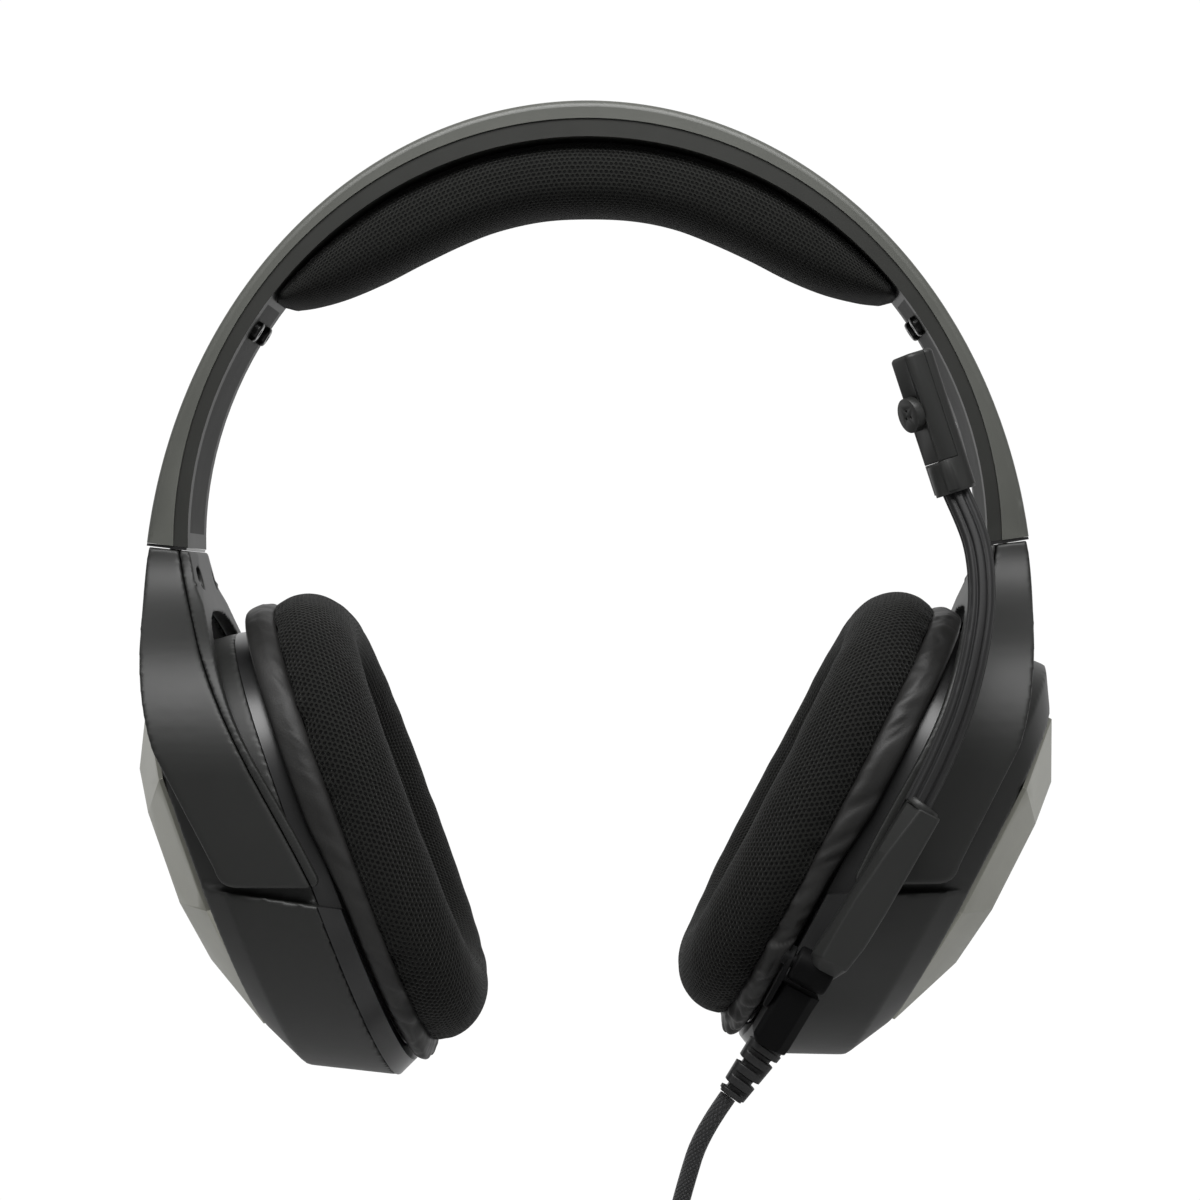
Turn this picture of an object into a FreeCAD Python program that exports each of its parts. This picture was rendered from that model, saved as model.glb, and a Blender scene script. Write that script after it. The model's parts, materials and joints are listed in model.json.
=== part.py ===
"""Wired over-ear gaming headset with a flexible boom microphone.

Frame: millimetres, +Z up, front of the wearer's head towards -Y, wearer's left at +X.
The origin is the middle of the head pad's underside, where the pad rests on the head.
Each cup is drawn upright about its tilt axis (x outward, y back, z up), turned to its
resting tilt, moved to the yoke, and mirrored for the wearer's right side.
"""
import FreeCAD, Part
import math
import os

Vector = FreeCAD.Vector
X_AXIS = Vector(1, 0, 0)
Y_AXIS = Vector(0, 1, 0)
Z_AXIS = Vector(0, 0, 1)

# ---- driving dimensions: headband -------------------------------------------------
ARCH_HALF_WIDTH = 91.2
ARCH_HEIGHT = 105.4
ARCH_CENTRE_Z = -82.6
ARCH_END_ANGLE = 81.5
BAND_WIDTH = 34.0
PAD_END_ANGLE = 49.0
HEAD_PAD_WIDTH = 31.0
COVER_THICKNESS = 1.2
COVER_WIDTH = 25.0
SPRING_WIDTH = 12.0
SPRING_THICKNESS = 0.8
WIRE_OFFSET = 9.6

# ---- driving dimensions: size slider and yoke ---------------------------------------
SLIDE_ANGLE = 11.5
SLIDE_TOP = Vector(85.9, 0, -67.0)
STRIP_WIDTH = 12.0
STRIP_THICKNESS = 1.0
STRIP_INSIDE_BAND = 32.0
STRIP_INSIDE_YOKE = 12.0
SLIDE_CLEARANCE = 0.15
FORK_OUTSIDE = 44.5
FORK_INSIDE = 41.3
SEAM_GAP = 0.12
STEM_FACET_ANGLE = 5.0

# ---- driving dimensions: cups -------------------------------------------------------
PIVOT = Vector(66.0, 0, -131.0)
LEFT_TILT = 28.0
RIGHT_TILT = 20.0
CUP_HALF_WIDTH = 40.6
CHEEK_HALF_WIDTH = 44.4
WALL = 2.0
RIM_PLANE = -9.0
BAFFLE_PLANE = -13.0
PAD_BACK = -15.2
SKIRT_FRONT = -18.4
PAD_FACE = -32.3
SHELL_FACE = 12.0
PLATE_FACE = 19.3
DRIVER_RADIUS = 20.0
PIN_RADIUS = 2.5
PIN_END = FORK_OUTSIDE - 1.1
PIN_CLEARANCE = 0.06
OUTLINE_POWER = 2.5

# ---- driving dimensions: boom, cable and plug ---------------------------------------
BOOM_DIAMETER = 5.4
CABLE_DIAMETER = 3.5
COIL_RADIUS = 20.0
COIL_SECTION_RADIUS = 5.9
PLUG_RADIUS = 1.75
PLUG_LENGTH = 14.0

os.makedirs("parts", exist_ok=True)


# ---- general helpers ------------------------------------------------------------------
def save(name, shape):
    """Write one node, and print its volume as a check."""
    solids = shape.Solids
    assert solids and shape.isValid(), name
    body = solids[0] if len(solids) == 1 else Part.makeCompound(solids)
    body.exportStep("parts/" + name + ".step")
    print(f"{name:26s} solids {len(solids)}  volume {shape.Volume / 1000.0:8.3f} cm3")


def box(low, high):
    """A box between two corners."""
    size = [high[i] - low[i] for i in range(3)]
    return Part.makeBox(size[0], size[1], size[2], Vector(*low))


def rod(start, end, radius, end_radius=None):
    """A round bar, or a cone, between two points."""
    along = end - start
    if end_radius is None or end_radius == radius:
        return Part.makeCylinder(radius, along.Length, start, along)
    return Part.makeCone(radius, end_radius, along.Length, start, along)


def ball(centre, radius):
    return Part.makeSphere(radius, centre)


def spline(points):
    """A smooth open edge through a few points."""
    curve = Part.BSplineCurve()
    curve.interpolate(points)
    return curve.toShape()


def line(start, end):
    return Part.LineSegment(start, end).toShape()


def polygon(points):
    return Part.makePolygon(points + [points[0]])


def extrude_both_ways(wire, direction, half_length):
    """A solid of a flat outline, pushed the same way to both sides."""
    face = Part.Face(wire)
    face.translate(direction * -half_length)
    return face.extrude(direction * (2.0 * half_length))


# ---- headband -------------------------------------------------------------------------
def arch_point(angle, inset):
    """A point of the headband's arch, measured inward from its outer ellipse."""
    turn = math.radians(angle)
    x = ARCH_HALF_WIDTH * math.sin(turn)
    z = ARCH_HEIGHT * math.cos(turn)
    normal = Vector(x / ARCH_HALF_WIDTH ** 2, 0, z / ARCH_HEIGHT ** 2)
    normal.normalize()
    return Vector(x, 0, z + ARCH_CENTRE_Z) - normal * inset


def shell_thickness(angle):
    """The outer shell is thinnest half way down and thickest at its ends."""
    share = angle / ARCH_END_ANGLE
    return 3.7 - 5.4 * share ** 2 + 7.3 * share ** 4


def band_thickness(angle):
    """The whole headband, shell and inner rim together."""
    share = angle / ARCH_END_ANGLE
    return 7.4 - 8.2 * share ** 2 + 9.4 * share ** 4


def arch_edge(inset_at, start_angle, end_angle, count=13):
    step = (end_angle - start_angle) / (count - 1)
    angles = [start_angle + step * i for i in range(count)]
    return spline([arch_point(angle, inset_at(angle)) for angle in angles])


def arch_slab(outer_inset, inner_inset, start_angle, end_angle, width):
    """A curved slab between two depths of the arch."""
    outer = arch_edge(outer_inset, start_angle, end_angle)
    inner = arch_edge(inner_inset, start_angle, end_angle)
    first = line(outer.valueAt(outer.FirstParameter), inner.valueAt(inner.FirstParameter))
    last = line(outer.valueAt(outer.LastParameter), inner.valueAt(inner.LastParameter))
    return extrude_both_ways(Part.Wire([outer, last, inner, first]), Y_AXIS, width / 2.0)


def slide_direction(side):
    """The way a cup moves as the headband is made longer."""
    tilt = math.radians(SLIDE_ANGLE)
    return Vector(side * math.sin(tilt), 0, -math.cos(tilt))


def slide_strip(extra):
    """The flat steel strip of the left side, grown by a clearance for its slot."""
    down = slide_direction(1)
    across = down.cross(Y_AXIS)
    top = SLIDE_TOP - down * (STRIP_INSIDE_BAND + extra)
    bottom = SLIDE_TOP + down * (STRIP_INSIDE_YOKE + extra)
    half = STRIP_THICKNESS / 2.0 + extra
    corners = [top + across * half, top - across * half,
               bottom - across * half, bottom + across * half]
    return extrude_both_ways(polygon(corners), Y_AXIS, STRIP_WIDTH / 2.0 + extra)


def mirrored(shape):
    return shape.mirror(Vector(0, 0, 0), X_AXIS)


def domed_screw(centre, outward, head_radius, head_height, shank_radius, shank_length):
    """A small screw with a low domed head, its head standing along outward."""
    shank = Part.makeCylinder(shank_radius, shank_length, centre, outward * -1.0)
    head = Part.makeCylinder(head_radius, head_height, centre, outward)
    top_edges = [edge for edge in head.Edges
                 if (edge.CenterOfMass - centre).dot(outward) > 0.9 * head_height
                 and edge.Length > head_radius]
    head = head.makeFillet(0.45 * head_height, top_edges)
    drive = Part.makeCylinder(head_radius * 0.35, head_height * 0.6,
                              centre + outward * head_height * 0.6, outward)
    return shank.fuse(head).cut(drive)


def make_headband():
    """Shell, rim, spring, inner covers with their screws, and the head pad."""
    shell = arch_slab(lambda a: 0.0, shell_thickness, -ARCH_END_ANGLE, ARCH_END_ANGLE, BAND_WIDTH)
    rim = arch_slab(lambda a: shell_thickness(a) + 0.05, band_thickness,
                    -ARCH_END_ANGLE, ARCH_END_ANGLE, BAND_WIDTH - 0.8)
    shell_faces = [edge for edge in shell.Edges
                   if edge.Length > 200.0 and abs(edge.CenterOfMass.y) > 10.0
                   and edge.BoundBox.ZMax > arch_point(0, 1.0).z]
    shell = shell.makeFillet(1.4, shell_faces)

    spring_half = SPRING_THICKNESS / 2.0
    spring = arch_slab(lambda a: shell_thickness(a) + 0.45 - spring_half,
                       lambda a: shell_thickness(a) + 0.45 + spring_half,
                       -52.0, 52.0, SPRING_WIDTH)
    pocket = arch_slab(lambda a: shell_thickness(a) + 0.35 - spring_half,
                       lambda a: shell_thickness(a) + 0.55 + spring_half,
                       -52.5, 52.5, SPRING_WIDTH + 0.4)
    slot = slide_strip(SLIDE_CLEARANCE)
    cover = arch_slab(lambda a: band_thickness(a) - COVER_THICKNESS, band_thickness,
                      PAD_END_ANGLE + 1.0, ARCH_END_ANGLE - 1.8, COVER_WIDTH)
    cover_seat = arch_slab(lambda a: band_thickness(a) - COVER_THICKNESS,
                           lambda a: band_thickness(a) + 1.0,
                           PAD_END_ANGLE + 1.0, ARCH_END_ANGLE - 1.8, COVER_WIDTH)
    screw_angle = PAD_END_ANGLE + 4.6
    centre = arch_point(screw_angle, band_thickness(screw_angle))
    outward = centre - arch_point(screw_angle, 0.0)
    outward.normalize()
    screws = [domed_screw(centre + Y_AXIS * offset, outward, 2.2, 1.5, 0.9, 2.0)
              for offset in (-8.0, 8.0)]
    left_screws = screws[0].fuse(screws[1])
    all_screws = left_screws.fuse(mirrored(left_screws))

    wire = arch_slab(lambda a: shell_thickness(a) + 0.15, lambda a: shell_thickness(a) + 1.25,
                     -78.0, 78.0, 1.1)
    wire.translate(Y_AXIS * WIRE_OFFSET)
    wire_channel = arch_slab(lambda a: shell_thickness(a), lambda a: shell_thickness(a) + 1.35,
                             -ARCH_END_ANGLE, ARCH_END_ANGLE, 1.3)
    wire_channel.translate(Y_AXIS * WIRE_OFFSET)

    shell = shell.cut(pocket).cut(slot).cut(mirrored(slot))
    rim = rim.cut(pocket).cut(slot).cut(mirrored(slot)).cut(wire_channel)
    rim = rim.cut(cover_seat).cut(mirrored(cover_seat)).cut(all_screws)
    cover = cover.cut(slot).cut(left_screws)

    half = [(0, 0), (9.4, -0.5), (23.0, -3.6), (30.0, -6.5), (38.0, -10.1), (47.0, -14.1),
            (56.0, -17.0), (60.0, -17.8)]
    low = [Vector(-x, 0, z) for x, z in reversed(half)] + [Vector(x, 0, z) for x, z in half[1:]]
    pad_top = arch_edge(lambda a: band_thickness(a) + 0.05, -PAD_END_ANGLE, PAD_END_ANGLE)
    ends = [pad_top.valueAt(pad_top.FirstParameter), pad_top.valueAt(pad_top.LastParameter)]
    pad_low = spline([ends[0]] + low + [ends[1]])
    pad = extrude_both_ways(Part.Wire([pad_top, pad_low]), Y_AXIS, HEAD_PAD_WIDTH / 2.0)

    down = slide_direction(1)
    face = [arch_point(ARCH_END_ANGLE, 0.2), arch_point(ARCH_END_ANGLE, band_thickness(ARCH_END_ANGLE) - 0.2)]
    corners = [face[0] + down * 0.05, face[1] + down * 0.05, face[1] + down * 0.6, face[0] + down * 0.6]
    end_cap = extrude_both_ways(polygon(corners), Y_AXIS, BAND_WIDTH / 2.0 - 0.3).cut(slot)
    save("left_end_cap", end_cap)
    save("right_end_cap", mirrored(end_cap))
    save("headband_shell", shell)
    save("headband_rim", rim)
    save("headband_spring", spring)
    save("headband_wire", wire)
    save("left_inner_cover", cover)
    save("right_inner_cover", mirrored(cover))
    save("cover_screws", all_screws)
    save("head_pad", pad)


# ---- yoke -----------------------------------------------------------------------------
def yoke_outline():
    """The yoke seen from the front: a stem that leans in to a straight-sided blade."""
    outer = spline([Vector(89.7, 0, -67.9), Vector(90.4, 0, -76.0), Vector(89.9, 0, -86.0),
                    Vector(88.6, 0, -97.5), Vector(85.9, 0, -108.6)])
    edge = line(Vector(85.9, 0, -108.6), Vector(73.6, 0, -132.4))
    corner = spline([Vector(73.6, 0, -132.4), Vector(72.3, 0, -134.8), Vector(69.8, 0, -135.9)])
    foot = line(Vector(69.8, 0, -135.9), Vector(55.0, 0, -136.2))
    hook = spline([Vector(55.0, 0, -136.2), Vector(53.4, 0, -135.3), Vector(53.9, 0, -132.9)])
    inner = spline([Vector(53.9, 0, -132.9), Vector(61.7, 0, -118.4), Vector(70.6, 0, -101.5),
                    Vector(76.2, 0, -85.0), Vector(79.4, 0, -75.0), Vector(80.7, 0, -68.9)])
    top = line(Vector(80.7, 0, -68.9), Vector(89.7, 0, -67.9))
    return Part.Wire([outer, edge, corner, foot, hook, inner, top])


def yoke_side_outline():
    """The yoke seen from the side: an upside-down U that holds the cup front and back."""
    outer_half = [(17.0, -66.0), (18.3, -73.0), (24.0, -80.5), (33.5, -88.5), (40.8, -99.0),
                  (FORK_OUTSIDE, -113.0)]
    inner_half = [(FORK_INSIDE, -114.0), (38.2, -101.5), (30.0, -91.0), (17.0, -83.2), (0, -81.2)]
    edges = []
    for sign in (1, -1):
        outer = [Vector(0, sign * y, z) for y, z in outer_half]
        inner = [Vector(0, sign * y, z) for y, z in inner_half]
        outer_foot = Vector(0, sign * FORK_OUTSIDE, -140.0)
        inner_foot = Vector(0, sign * FORK_INSIDE, -140.0)
        edges += [spline(outer), line(outer[-1], outer_foot),
                  line(outer_foot, inner_foot), line(inner_foot, inner[0])]
    right = [Vector(0, y, z) for y, z in inner_half]
    left = [Vector(0, -y, z) for y, z in reversed(inner_half[:-1])]
    edges += [spline(right + left), line(Vector(0, 17.0, -66.0), Vector(0, -17.0, -66.0))]
    return Part.Wire(Part.__sortEdges__(edges))


def make_yoke():
    """Outer and inner shells of the left yoke, its steel strip and its screws."""
    front = extrude_both_ways(yoke_outline(), Y_AXIS, FORK_OUTSIDE + 1.0)
    side = Part.Face(yoke_side_outline()).extrude(X_AXIS * 120.0)
    yoke = front.common(side)
    for lean, top, place in ((14.5, 8.0, Vector(80.7, 8.0, -68.9)), (30.0, 0.0, Vector(79.05, 8.0, -75.3))):
        facet = box((-12.0, 0, top - 18.0), (0, 30.0, top))
        facet.rotate(Vector(0, 0, 0), Z_AXIS, -STEM_FACET_ANGLE)
        facet.rotate(Vector(0, 0, 0), Y_AXIS, lean)
        facet.translate(place)
        if lean < 20.0:
            facet = facet.cut(box((60.0, 0, -100.0), (100.0, 60.0, -75.3)))
        yoke = yoke.cut(facet).cut(facet.mirror(Vector(0, 0, 0), Y_AXIS))

    seam = [Vector(83.6, 0, -60.0), Vector(83.5, 0, -68.8), Vector(79.6, 0, -83.7),
            Vector(70.7, 0, -105.1), Vector(63.7, 0, -118.4), Vector(55.4, 0, -134.0),
            Vector(53.0, 0, -139.0)]
    seam_edge = spline(seam)
    around = [line(seam[-1], Vector(40, 0, -139.0)), line(Vector(40, 0, -139.0), Vector(40, 0, -60)),
              line(Vector(40, 0, -60), seam[0])]
    inside = extrude_both_ways(Part.Wire([seam_edge] + around), Y_AXIS, 60.0)
    strip_slot = slide_strip(0.05)
    outer = yoke.cut(inside).cut(strip_slot)
    inner = yoke.common(inside).cut(strip_slot)
    inner.translate(Vector(-SEAM_GAP, 0, 0))

    pin_holes = rod(PIVOT - Y_AXIS * PIN_END, PIVOT + Y_AXIS * PIN_END, PIN_RADIUS)
    outer = outer.cut(pin_holes)
    inner = inner.cut(pin_holes)
    strip = slide_strip(0.0)
    screws = None
    for y, z in ((-12.4, -74.4), (12.4, -74.4)):
        face_x = 79.6
        start = Vector(face_x, y, z)
        well = rod(start - X_AXIS * 3, start + X_AXIS * 2.6, 2.3)
        screw = rod(start + X_AXIS * 1.7, start + X_AXIS * 2.6, 1.8)
        screw = screw.fuse(rod(start + X_AXIS * 2.6, start + X_AXIS * 7.5, 0.8))
        drive = box((face_x + 1.2, y - 1.2, z - 0.25), (face_x + 2.2, y + 1.2, z + 0.25))
        cross = box((face_x + 1.2, y - 0.25, z - 1.2), (face_x + 2.2, y + 0.25, z + 1.2))
        inner = inner.cut(well)
        bore = rod(start + X_AXIS * 1.6, start + X_AXIS * 7.5, 0.8)
        head_room = rod(start + X_AXIS * 1.6, start + X_AXIS * 2.65, 1.85)
        inner = inner.cut(bore)
        outer = outer.cut(bore).cut(head_room)
        screw = screw.cut(drive).cut(cross)
        screws = screw if screws is None else screws.fuse(screw)
    return {"yoke_outer_shell": outer, "yoke_inner_shell": inner,
            "size_strip": strip, "yoke_screws": screws}


# ---- cups, drawn upright about their tilt axis -------------------------------------------
def outline(x, half_width, low, high, power=OUTLINE_POWER):
    """A rounded cup outline in the plane of one x, from a superellipse."""
    centre = (high + low) / 2.0
    half_height = (high - low) / 2.0
    points = []
    count = 28
    for i in range(count):
        turn = 2.0 * math.pi * (i + 0.5) / count
        cosine, sine = math.cos(turn), math.sin(turn)
        y = half_width * math.copysign(abs(cosine) ** (2.0 / power), cosine)
        z = centre + half_height * math.copysign(abs(sine) ** (2.0 / power), sine)
        points.append(Vector(x, y, z))
    curve = Part.BSplineCurve()
    curve.interpolate(points, True)
    return Part.Wire([curve.toShape()])


def stack(sections, power=OUTLINE_POWER):
    """Straight walls between rounded outlines (x, half width, low, high)."""
    wires = [outline(*section, power) for section in sections]
    return Part.makeLoft(wires, True, True)


def cheek_region(lift):
    """Everything below the slanted line where the blade of the yoke ends."""
    def height(x):
        return -12.5 + 0.56 * (x + 9.0) + lift
    corners = [Vector(-20, 0, height(-20)), Vector(20, 0, height(20)),
               Vector(20, 0, -70), Vector(-20, 0, -70)]
    return extrude_both_ways(polygon(corners), Y_AXIS, 60.0)


SHELL_UPPER = [(RIM_PLANE, CUP_HALF_WIDTH, -52.6, 44.8), (7.4, 40.2, -44.4, 46.4),
               (SHELL_FACE, 38.2, -34.8, 39.2)]
SHELL_LOWER = [(RIM_PLANE, CHEEK_HALF_WIDTH, -52.6, 44.8), (7.4, 42.6, -44.4, 46.4),
               (SHELL_FACE, 38.6, -34.8, 39.2)]
RIM_UPPER = [(BAFFLE_PLANE, 39.6, -50.8, 44.0), (RIM_PLANE, CUP_HALF_WIDTH, -52.6, 44.8)]
RIM_LOWER = [(BAFFLE_PLANE, 43.0, -50.8, 44.0), (RIM_PLANE, CHEEK_HALF_WIDTH, -52.6, 44.8)]


def shrunk(sections, amount, first_x=None, last_x=None):
    """The same outlines moved inward by a wall's thickness."""
    result = [[x, half - amount, low + amount, high - amount] for x, half, low, high in sections]
    if first_x is not None:
        result[0][0] = first_x
    if last_x is not None:
        result[-1][0] = last_x
    return result


def cup_body(upper, lower):
    """A cup layer: slim beside the yoke's blades, flush with them below."""
    return stack(upper).fuse(stack(lower).common(cheek_region(0.0))).removeSplitter()


def plate_outline(x, points):
    return polygon([Vector(x, y, z) for y, z in points])


def make_plate():
    """The faceted metal plate on the outside of the cup."""
    right_base = [(14.0, 37.0), (35.0, 22.0), (36.6, -6.0), (14.0, -32.4)]
    right_face = [(9.0, 25.6), (20.0, 16.5), (22.5, -3.0), (8.0, -16.5)]
    base = right_base + [(-y, z) for y, z in reversed(right_base)]
    face = right_face + [(-y, z) for y, z in reversed(right_face)]
    skirt = Part.Face(plate_outline(SHELL_FACE + 0.02, base)).extrude(X_AXIS * 0.9)
    top = Part.makeLoft([plate_outline(SHELL_FACE + 0.92, base),
                         plate_outline(PLATE_FACE, face)], True, True)
    plate = skirt.fuse(top)
    hollow_base = [(y * 0.9, z * 0.9) for y, z in base]
    hollow_face = [(y * 0.85, z * 0.85) for y, z in face]
    hollow = Part.makeLoft([plate_outline(SHELL_FACE, hollow_base),
                            plate_outline(PLATE_FACE - 1.6, hollow_face)], True, True)
    return plate.cut(hollow)


PAD_OUTLINE = (41.6, -49.0, 46.6)
PAD_HOLE = (22.0, -31.0, 28.5)


def make_cup():
    """The pieces that both cups have, in their own upright frame."""
    pin_axis = rod(-Y_AXIS * 60, Y_AXIS * 60, PIN_RADIUS + PIN_CLEARANCE)
    inner_wall = shrunk(SHELL_UPPER, WALL, RIM_PLANE - 0.01, SHELL_FACE - WALL)
    outside = cup_body(SHELL_UPPER, SHELL_LOWER)
    shell = outside.cut(stack(inner_wall))
    bosses = None
    for sign in (1, -1):
        boss = rod(Y_AXIS * sign * 30.0, Y_AXIS * sign * CUP_HALF_WIDTH, 5.0)
        bosses = boss if bosses is None else bosses.fuse(boss)
    shell = shell.fuse(bosses.common(stack(SHELL_UPPER))).cut(pin_axis)
    rim = cup_body(RIM_UPPER, RIM_LOWER)
    rim = rim.cut(stack(shrunk(RIM_UPPER, WALL + 0.6, BAFFLE_PLANE - 0.01, RIM_PLANE + 0.01)))

    screws = None
    for y, z in ((26.0, 26.0), (-26.0, 26.0), (21.0, -34.0), (-21.0, -34.0)):
        pillar = rod(Vector(RIM_PLANE, y, z), Vector(SHELL_FACE - 1.0, y, z), 2.6)
        shell = shell.fuse(pillar.common(outside))
        screw = rod(Vector(PAD_BACK + 2.25, y, z), Vector(PAD_BACK + 3.6, y, z), 2.4)
        screw = screw.fuse(rod(Vector(PAD_BACK + 3.6, y, z), Vector(0.0, y, z), 1.1))
        screw = screw.cut(rod(Vector(PAD_BACK + 2.2, y, z), Vector(PAD_BACK + 2.9, y, z), 0.8))
        screws = screw if screws is None else screws.fuse(screw)
    baffle = stack([(PAD_BACK + 0.2, 38.6, -46.6, 43.0), (BAFFLE_PLANE - 0.02, 39.4, -47.6, 43.6)])
    web = stack([(BAFFLE_PLANE - 0.05, 36.4, -45.8, 40.8), (RIM_PLANE - 1.6, 36.4, -45.8, 40.8)])
    driver_hole = rod(Vector(-20, 0, 0), Vector(20, 0, 0), DRIVER_RADIUS + 0.1)
    baffle = baffle.fuse(web).cut(driver_hole).cut(screws)
    shell = shell.cut(screws)

    axis_back = Vector(PAD_BACK + 0.3, 0, 0)
    frame = rod(axis_back, axis_back + X_AXIS * 5.0, DRIVER_RADIUS)
    frame = frame.cut(rod(axis_back, axis_back + X_AXIS * 3.6, DRIVER_RADIUS - 1.5))
    frame = frame.cut(rod(axis_back, axis_back + X_AXIS * 6.0, 10.0))
    magnet = rod(axis_back + X_AXIS * 3.7, axis_back + X_AXIS * 9.5, 9.9)
    magnet = magnet.cut(rod(axis_back + X_AXIS * 3.6, axis_back + X_AXIS * 9.6, 2.0))
    dome = rod(axis_back + X_AXIS * 1.4, axis_back + X_AXIS * 1.8, DRIVER_RADIUS - 1.6)
    bulge = ball(axis_back + X_AXIS * 12.9, 12.0).common(
        rod(axis_back + X_AXIS * 0.5, axis_back + X_AXIS * 1.5, 8.0))
    dome = dome.fuse(bulge)

    half, low, high = PAD_HOLE
    scrim = stack([(PAD_BACK - 0.5, half + 3.0, low - 3.0, high + 3.0),
                   (PAD_BACK - 0.05, half + 3.0, low - 3.0, high + 3.0)])
    half, low, high = PAD_OUTLINE
    skirt = stack([(SKIRT_FRONT, half - 0.4, low + 0.4, high - 0.4),
                   (SKIRT_FRONT + 2.4, half + 0.9, low - 0.9, high + 0.9),
                   (BAFFLE_PLANE + 0.9, half + 0.2, low - 0.2, high + 0.2)])
    hole = shrunk([(SKIRT_FRONT - 0.01, *PAD_HOLE), (PAD_BACK, *PAD_HOLE)], 0.0)
    lip = [(PAD_BACK, 39.9, -48.2, 45.0), (0.0, 39.9, -48.2, 45.0)]
    rim_room = stack([(BAFFLE_PLANE - 0.6, 43.2, -51.4, 44.9), (RIM_PLANE, 45.4, -53.4, 45.6)])
    upper_room = stack([(BAFFLE_PLANE - 0.6, 40.2, -51.4, 44.9), (RIM_PLANE, 41.4, -53.4, 45.6)])
    skirt = skirt.cut(stack(hole)).cut(stack(lip)).cut(rim_room).cut(upper_room)
    skirt = skirt.cut(scrim)
    knit = stack([(PAD_FACE, half - 9.5, low + 9.5, high - 9.5),
                  (PAD_FACE + 1.6, half - 5.2, low + 5.2, high - 5.2),
                  (PAD_FACE + 6.0, half - 0.9, low + 0.9, high - 0.9),
                  (SKIRT_FRONT - 3.5, half, low, high),
                  (SKIRT_FRONT - 0.05, half - 1.0, low + 1.0, high - 1.0)])
    half, low, high = PAD_HOLE
    knit = knit.cut(stack([(PAD_FACE - 0.01, half + 4.5, low - 4.5, high + 4.5),
                           (PAD_FACE + 3.0, half + 0.8, low - 0.8, high + 0.8),
                           (SKIRT_FRONT, half, low, high)]))
    pins = None
    for sign in (1, -1):
        head = rod(Y_AXIS * sign * 33.0, Y_AXIS * sign * PIN_END, PIN_RADIUS)
        pins = head if pins is None else pins.fuse(head)
    return {"pivot_pins": pins, "cup_shell": shell, "side_plate": make_plate(), "cup_rim": rim,
            "baffle": baffle, "cup_screws": screws, "driver_frame": frame,
            "driver_magnet": magnet, "driver_diaphragm": dome, "driver_scrim": scrim,
            "ear_pad_skirt": skirt, "ear_pad_knit": knit}


def to_world(shape, tilt):
    """From the cup's upright frame to its resting place on the left side."""
    moved = shape.copy()
    moved.rotate(Vector(0, 0, 0), Y_AXIS, tilt)
    moved.translate(PIVOT)
    return moved


# ---- cord-like solids: straight runs joined by tangent arcs --------------------------------
def tube(name, points, radius):
    """A round tube along a hand-placed route, each corner as a tangent arc."""
    edges = []
    radii = []
    start = points[0]
    length = 0.0
    for before, corner, after in zip(points, points[1:], points[2:]):
        incoming = (corner - before).normalize()
        outgoing = (after - corner).normalize()
        turn = incoming.getAngle(outgoing)
        trim = 0.45 * min((corner - before).Length, (after - corner).Length)
        bend_radius = trim / math.tan(turn / 2.0)
        radii.append(bend_radius)
        arc_start = corner - incoming * trim
        arc_end = corner + outgoing * trim
        bisector = (outgoing - incoming).normalize()
        centre = corner + bisector * math.hypot(bend_radius, trim)
        middle = centre - bisector * bend_radius
        edges.append(line(start, arc_start))
        edges.append(Part.Arc(arc_start, middle, arc_end).toShape())
        length += (arc_start - start).Length + bend_radius * turn
        start = arc_end
    edges.append(line(start, points[-1]))
    length += (points[-1] - start).Length
    section = Part.Wire([Part.makeCircle(radius, points[0], points[1] - points[0])])
    solid = Part.Wire(edges).makePipeShell([section], True, True)
    expected = math.pi * radius ** 2 * length
    print(f"{name}: length {length:.1f}, radii {[round(r, 1) for r in radii]}, "
          f"volume / expected {solid.Volume / expected:.4f}")
    return solid


# ---- boom microphone, drawn at rest, stowed upwards ------------------------------------------
HUB_CENTRE = Vector(-9.2, -50.2, -29.0)
HUB_RADIUS = 4.4
BOOM_ROUTE = [Vector(64.9, -52.3, -119.9), Vector(69.5, -52.2, -110.7), Vector(73.6, -51.6, -100.7),
              Vector(76.5, -50.2, -90.2), Vector(78.1, -48.0, -79.4), Vector(77.3, -45.2, -68.6),
              Vector(73.4, -42.2, -58.0)]
FLEX_POINT = (BOOM_ROUTE[3] + BOOM_ROUTE[4]) * 0.5
FLEX_CLEARANCE = 0.3
CAPSULE_LENGTH = 28.2
CAPSULE_LEAN = 17.7
CAPSULE_TWIST = 28.0


def rounded_block(length_x, length_y, low_z, high_z, corner):
    """A block with rounded upright edges, centred on its z axis."""
    block = box((-length_x / 2.0, -length_y / 2.0, low_z), (length_x / 2.0, length_y / 2.0, high_z))
    upright = [edge for edge in block.Edges if abs(edge.tangentAt(0).z) > 0.9]
    return block.makeFillet(corner, upright)


def bar_section(centre, width, depth, corner=1.6):
    """A rounded rectangle in a level plane, as one section of the boom's rigid arm."""
    block = rounded_block(width, depth, 0.0, 1.0, corner)
    lowest = min(block.Faces, key=lambda face: face.CenterOfMass.z)
    wire = lowest.OuterWire.copy()
    wire.translate(centre)
    return wire


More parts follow.
